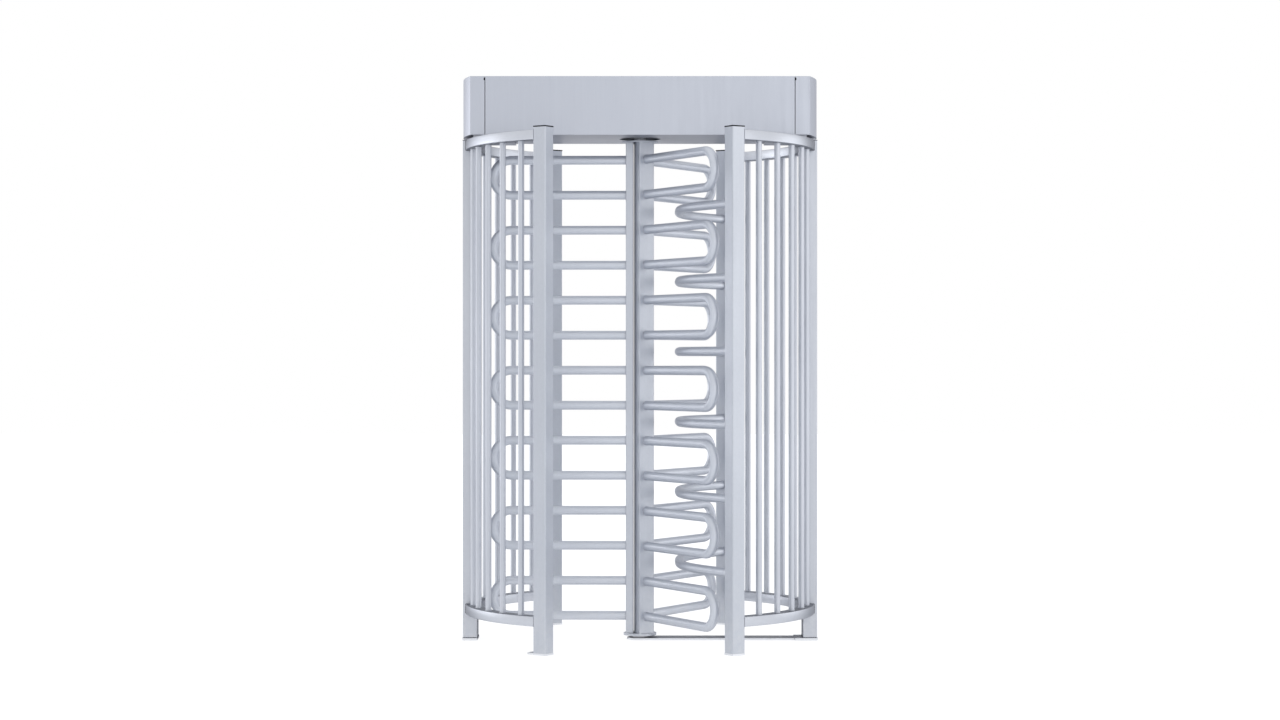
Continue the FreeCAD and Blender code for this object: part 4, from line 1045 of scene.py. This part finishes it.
def buildComb():
    bm = bmesh.new()
    welds = bmesh.new()
    angle = cage["rightAngle"]
    turn = 90 - angle
    bend = comb["bend"]
    straight = comb["nose"] * math.tan(math.radians(angle)) - bend * math.tan(math.radians(turn / 2))
    reach = cage["radius"] - cage["postSize"] / 2
    centreX = comb["nose"] + bend
    ahead, left = Vector((1, 0, 0)), Vector((0, 1, 0))
    for level in range(comb["count"]):
        z = comb["first"] + comb["pitch"] * level
        path = [(turned((reach, 0, z), -angle), turned((-1, 0, 0), -angle))]
        path += arcPath(Vector((centreX, -straight, z)), ahead, left, bend, 180 + turn, -turn, comb["steps"])
        path += arcPath(Vector((centreX, straight, z)), ahead, left, bend, 180, -turn, comb["steps"])
        path.append((turned((reach, 0, z), angle), turned((1, 0, 0), angle)))
        tubeAlong(bm, path, up, comb["radius"], comb["sides"])
        for side in (-angle, angle):
            place = turned((reach - comb["weldSunk"], 0, z), side)
            beadRound(welds, place, turned((1, 0, 0), side), comb["radius"] + comb["weldGrow"])
    finishPiece("comb_tubes", bm, "tube", ["comb_bars"])
    finishPiece("comb_welds", welds, "weld")


buildComb()
print("comb built")

rotor = {
    "wings": {"left": 179.0, "front": -61.0, "rear": 59.0},
    "face": 60.0,
    "uprightDepth": 32.0,
    "uprightWidth": 70.0,
    "foot": 28.0,
    "top": 2123.0,
    "shaft": 25.0,
    "tube": 19.0,
    "reach": 646.0,
    "bend": 75.0,
    "first": 100.0,
    "pitch": 300.0,
    "count": 7,
    "sides": 32,
    "steps": 20,
    "lead": 40.0,
    "bead": 1.0,
    "weldGrow": 0.3,
    "columnWeld": 0.4,
    "shaftWeld": 0.6,
}


def buildWing(name, turn):
    bm = bmesh.new()
    welds = bmesh.new()
    ahead = turned((1, 0, 0), turn)
    side = ahead.cross(up)
    bend, tube, face = rotor["bend"], rotor["tube"], ahead * rotor["face"]
    centreX = rotor["reach"] - tube - bend
    lead = ahead * (centreX - rotor["lead"])
    for level in range(rotor["count"]):
        low = up * (rotor["first"] + rotor["pitch"] * level)
        high = low + up * (2 * bend)
        path = [(face + low, ahead), (lead + low, ahead)]
        path += arcPath(ahead * centreX + low + up * bend, ahead, up, bend, -90, 180, rotor["steps"])
        path += [(lead + high, -ahead), (face + high, -ahead)]
        tubeAlong(bm, path, side, tube, rotor["sides"])
        for height in (low, high):
            place = ahead * (rotor["face"] + rotor["weldGrow"]) + height
            beadRound(welds, place, ahead, tube + rotor["weldGrow"], rotor["bead"])
    finishPiece(f"wing_tubes_{name}", bm, "tube", [f"wing_loops_{name}"], body="rotor")
    finishPiece(f"wing_welds_{name}", welds, "weld", body="rotor")


def buildRotor():
    welds = bmesh.new()
    ends = (rotor["foot"] + rotor["columnWeld"], rotor["top"] - rotor["columnWeld"])
    near, far = rotor["face"] - rotor["uprightDepth"], rotor["face"]
    half = rotor["uprightWidth"] / 2
    for name, turn in rotor["wings"].items():
        buildWing(name, turn)
        for z in ends:
            squareWeld(welds, near, far, -half, half, z, turn)
    for z in ends:
        beadRound(welds, (0, 0, z), up, rotor["shaft"] + rotor["shaftWeld"])
    finishPiece("column_welds", welds, "weld", body="rotor")
    dress("column", ["upright_left", "upright_front", "upright_rear"], edge=0.5)
    dress("column", ["bottom_flange", "top_flange"], edge=0.8)
    # the shaft's light tone is painted light against the shade in the column's gap
    dress("shaft", ["rotor_shaft"])
    dress("machined", ["pivot_base", "shaft_keys"], edge=0.4)
    dress("bronze", ["thrust_washer", "lower_bush"])


buildRotor()
print("rotor built")

head = {
    "rearFace": 228.0,
    "screwHeight": 2152.0,
    "screwPlaces": (-560.0, -190.0, 190.0, 560.0),
    "screwRadius": 5.5,
    "trayTop": 2142.0,
    "nutPlace": (575.0, 188.0),
    "nut": 10.0,
    "nutStud": 5.0,
}


def buildHeadFixings():
    # screws along the foot of the rear cover, and the nuts that hold the tray to its plates
    screws = bmesh.new()
    for x in head["screwPlaces"]:
        buttonScrew(screws, (x, head["rearFace"], head["screwHeight"]), (0, 1, 0), head["screwRadius"])
    finishPiece("rear_cover_screws", screws, "zinc")
    nuts = bmesh.new()
    along, deep = head["nutPlace"]
    for x in (-along, along):
        for y in (-deep, deep):
            boltWithWasher(nuts, (x, y, head["trayTop"]), up, head["nut"], head["nutStud"])
    finishPiece("tray_nuts", nuts, "zinc")


def buildHead():
    buildHeadFixings()
    dress("sheet", ["header_lid", "rear_cover", "end_cap_left", "end_cap_right"], edge=0.7)
    dress("sheet", ["front_cover"])
    dress("tray", ["header_tray"], edge=0.7)
    dress("inner", ["bulkheads", "header_beams", "mechanism_plate"], edge=0.6)
    dress("plastic", ["cable_gland"], edge=0.5)
    dress("machined", ["cover_hinge_pins"])


buildHead()
print("head built")

drive = {
    "plateTop": 2192.0,
    "plateBolts": (-125.0, 62.0, 215.0),
    "plateBolt": 10.0,
    "beam": 150.0,
    "flangeTop": 2204.0,
    "flangeCircle": 62.0,
    "flangeBolts": 6,
    "flangeBolt": 8.0,
    "flangeHead": 0.66,
}
motor = {
    "place": 165.0,
    "radius": 50.0,
    "flangeTop": 2288.0,
    "screwCircle": 42.0,
    "screwRadius": 5.0,
    "bands": (2204.0, 2232.0, 2260.0),
    "bandHeight": 6.0,
    "bandProud": 1.2,
    "bandSunk": 1.0,
    "bandEdge": (0.6, 0.8),
    "bandSides": 64,
    "boxLow": (148.0, -76.0, 2212.0),
    "boxHigh": (182.0, -47.0, 2250.0),
    "boxEdge": 2.5,
    "boxScrewInset": 6.0,
    "boxScrewRadius": 2.6,
}
lock = {
    "half": 30.0,
    "front": 120.0,
    "rear": 190.0,
    "screwPlace": 23.0,
    "screwHeights": (2201.0, 2267.0),
    "screwRadius": 3.4,
    "footReach": 15.0,
    "footThick": 4.0,
    "footLap": 1.0,
    "footEdge": 1.0,
    "footInset": 12.0,
    "footScrewInset": 22.0,
    "footScrewShare": 0.55,
    "footScrewRadius": 3.8,
}
unit = {
    "left": -560.0,
    "right": -320.0,
    "half": 100.0,
    "top": 2222.0,
    "screwInset": 11.0,
    "screwRadius": 4.2,
    "sideFace": -323.0,
    "glandHeight": 2176.0,
    "glands": (-66.0, -22.0, 22.0, 66.0),
    "glandNut": ((0, -1), (12, -1), (12, 4.4), (11.2, 5), (0, 5)),
    "glandDome": ((0, 4), (9.5, 4), (9.5, 11), (7.5, 14.5), (4.5, 14.5), (4, 12), (0, 12)),
}
supply = {
    "left": 362.0,
    "right": 552.0,
    "half": 60.0,
    "top": 2197.0,
    "ribs": 11,
    "ribPitch": 14.0,
    "ribWidth": 6.0,
    "ribInset": 16.0,
    "ribSunk": 1.0,
    "ribProud": 1.6,
    "ribEdge": 0.8,
    "terminals": 7,
    "terminalPitch": 13.0,
    "blockReach": 15.0,
    "blockLap": 1.0,
    "blockFoot": 2150.0,
    "blockTop": 2166.0,
    "blockEdge": 0.8,
    "wallHalf": 0.9,
    "wallFoot": 2164.0,
    "wallTop": 2172.0,
    "wallEdge": 0.4,
    "screwPlace": 7.0,
    "screwRadius": 3.6,
}


def buildDriveBolts():
    bm = bmesh.new()
    width, height = drive["flangeBolt"] * hexBolt["width"], drive["flangeBolt"] * drive["flangeHead"]
    for number in range(drive["flangeBolts"]):
        turn = 360 * (number + 0.5) / drive["flangeBolts"]
        place = turned((drive["flangeCircle"], 0, drive["flangeTop"]), turn)
        hexHead(bm, place, up, width, height)
    for x in drive["plateBolts"]:
        for y in (-drive["beam"], drive["beam"]):
            boltWithWasher(bm, (x, y, drive["plateTop"]), up, drive["plateBolt"])
    for number in range(4):
        offset = turned((motor["screwCircle"], 0, motor["flangeTop"]), 45 + 90 * number)
        buttonScrew(bm, offset + Vector((motor["place"], 0, 0)), up, motor["screwRadius"])
    finishPiece("drive_bolts", bm, "zinc")


def buildMotor():
    # clamping bands round the motor and its terminal box
    bm = bmesh.new()
    inner, outer = motor["radius"] - motor["bandSunk"], motor["radius"] + motor["bandProud"]
    slope, edge = motor["bandEdge"]
    for low in motor["bands"]:
        high = low + motor["bandHeight"]
        section = [(inner, low), (outer - slope, low), (outer, low + edge)]
        section += [(outer, high - edge), (outer - slope, high), (inner, high)]
        turnedPiece(bm, (motor["place"], 0, 0), up, section, motor["bandSides"])
    softBox(bm, motor["boxLow"], motor["boxHigh"], motor["boxEdge"])
    finishPiece("motor_bands", bm, "drive")
    screws = bmesh.new()
    inset = motor["boxScrewInset"]
    left, front, low = motor["boxLow"]
    right, _, high = motor["boxHigh"]
    for x in (left + inset, right - inset):
        for z in (low + inset, high - inset):
            buttonScrew(screws, (x, front, z), (0, -1, 0), motor["boxScrewRadius"])
    finishPiece("motor_box_screws", screws, "zinc")


def buildLock():
    feet = bmesh.new()
    screws = bmesh.new()
    low, high = drive["plateTop"], drive["plateTop"] + lock["footThick"]
    near, far = lock["half"] - lock["footLap"], lock["half"] + lock["footReach"]
    inset = lock["footInset"]
    for side in (-1, 1):
        left, right = sorted((side * near, side * far))
        start, end = (left, lock["front"] + inset, low), (right, lock["rear"] - inset, high)
        softBox(feet, start, end, lock["footEdge"])
        x = side * (lock["half"] + lock["footReach"] * lock["footScrewShare"])
        for y in (lock["front"] + lock["footScrewInset"], lock["rear"] - lock["footScrewInset"]):
            buttonScrew(screws, (x, y, high), up, lock["footScrewRadius"])
        for z in lock["screwHeights"]:
            place = (side * lock["screwPlace"], lock["front"], z)
            buttonScrew(screws, place, (0, -1, 0), lock["screwRadius"])
    finishPiece("lock_feet", feet, "drive")
    finishPiece("lock_screws", screws, "zinc")


def buildUnit():
    screws = bmesh.new()
    inset = unit["screwInset"]
    for x in (unit["left"] + inset, unit["right"] - inset):
        for y in (inset - unit["half"], unit["half"] - inset):
            buttonScrew(screws, (x, y, unit["top"]), up, unit["screwRadius"])
    finishPiece("unit_screws", screws, "zinc")
    glands = bmesh.new()
    for y in unit["glands"]:
        place = (unit["sideFace"], y, unit["glandHeight"])
        turnedPiece(glands, place, (1, 0, 0), unit["glandNut"], 6)
        turnedPiece(glands, place, (1, 0, 0), unit["glandDome"])
    finishPiece("unit_glands", glands, "plastic")


def buildSupply():
    ribs = bmesh.new()
    start = (supply["left"] + supply["right"] - supply["ribPitch"] * (supply["ribs"] - 1)) / 2
    half, reach = supply["ribWidth"] / 2, supply["half"] - supply["ribInset"]
    low, high = supply["top"] - supply["ribSunk"], supply["top"] + supply["ribProud"]
    for number in range(supply["ribs"]):
        x = start + supply["ribPitch"] * number
        softBox(ribs, (x - half, -reach, low), (x + half, reach, high), supply["ribEdge"])
    finishPiece("supply_ribs", ribs, "case")
    block = bmesh.new()
    screws = bmesh.new()
    reach = supply["terminalPitch"] * supply["terminals"] / 2
    left, right = supply["left"] - supply["blockReach"], supply["left"] + supply["blockLap"]
    foot, top = supply["blockFoot"], supply["blockTop"]
    softBox(block, (left, -reach, foot), (right, reach, top), supply["blockEdge"])
    wall = supply["wallHalf"]
    for number in range(supply["terminals"] + 1):
        y = supply["terminalPitch"] * number - reach
        low, high = (left, y - wall, supply["wallFoot"]), (right, y + wall, supply["wallTop"])
        softBox(block, low, high, supply["wallEdge"])
    for number in range(supply["terminals"]):
        y = supply["terminalPitch"] * (number + 0.5) - reach
        place = (supply["left"] - supply["screwPlace"], y, top)
        buttonScrew(screws, place, up, supply["screwRadius"])
    finishPiece("supply_terminals", block, "plastic")
    finishPiece("supply_screws", screws, "zinc")


def buildDrive():
    buildDriveBolts()
    buildMotor()
    buildLock()
    buildUnit()
    buildSupply()
    dress("machined", ["drive_gear", "motor_pinion", "lock_disc", "lock_bolt"], edge=0.3)
    dress("machined", ["bearing_outer_ring", "bearing_inner_ring"], edge=0.4)
    dress("plastic", ["bearing_seals"])
    dress("cast", ["bearing_housing"], edge=1.0)
    dress("drive", ["gearmotor", "lock_solenoid"], edge=1.0)
    dress("case", ["control_unit", "power_supply"], edge=1.0)


buildDrive()
print("drive built")
print("pieces:", pieceCount)
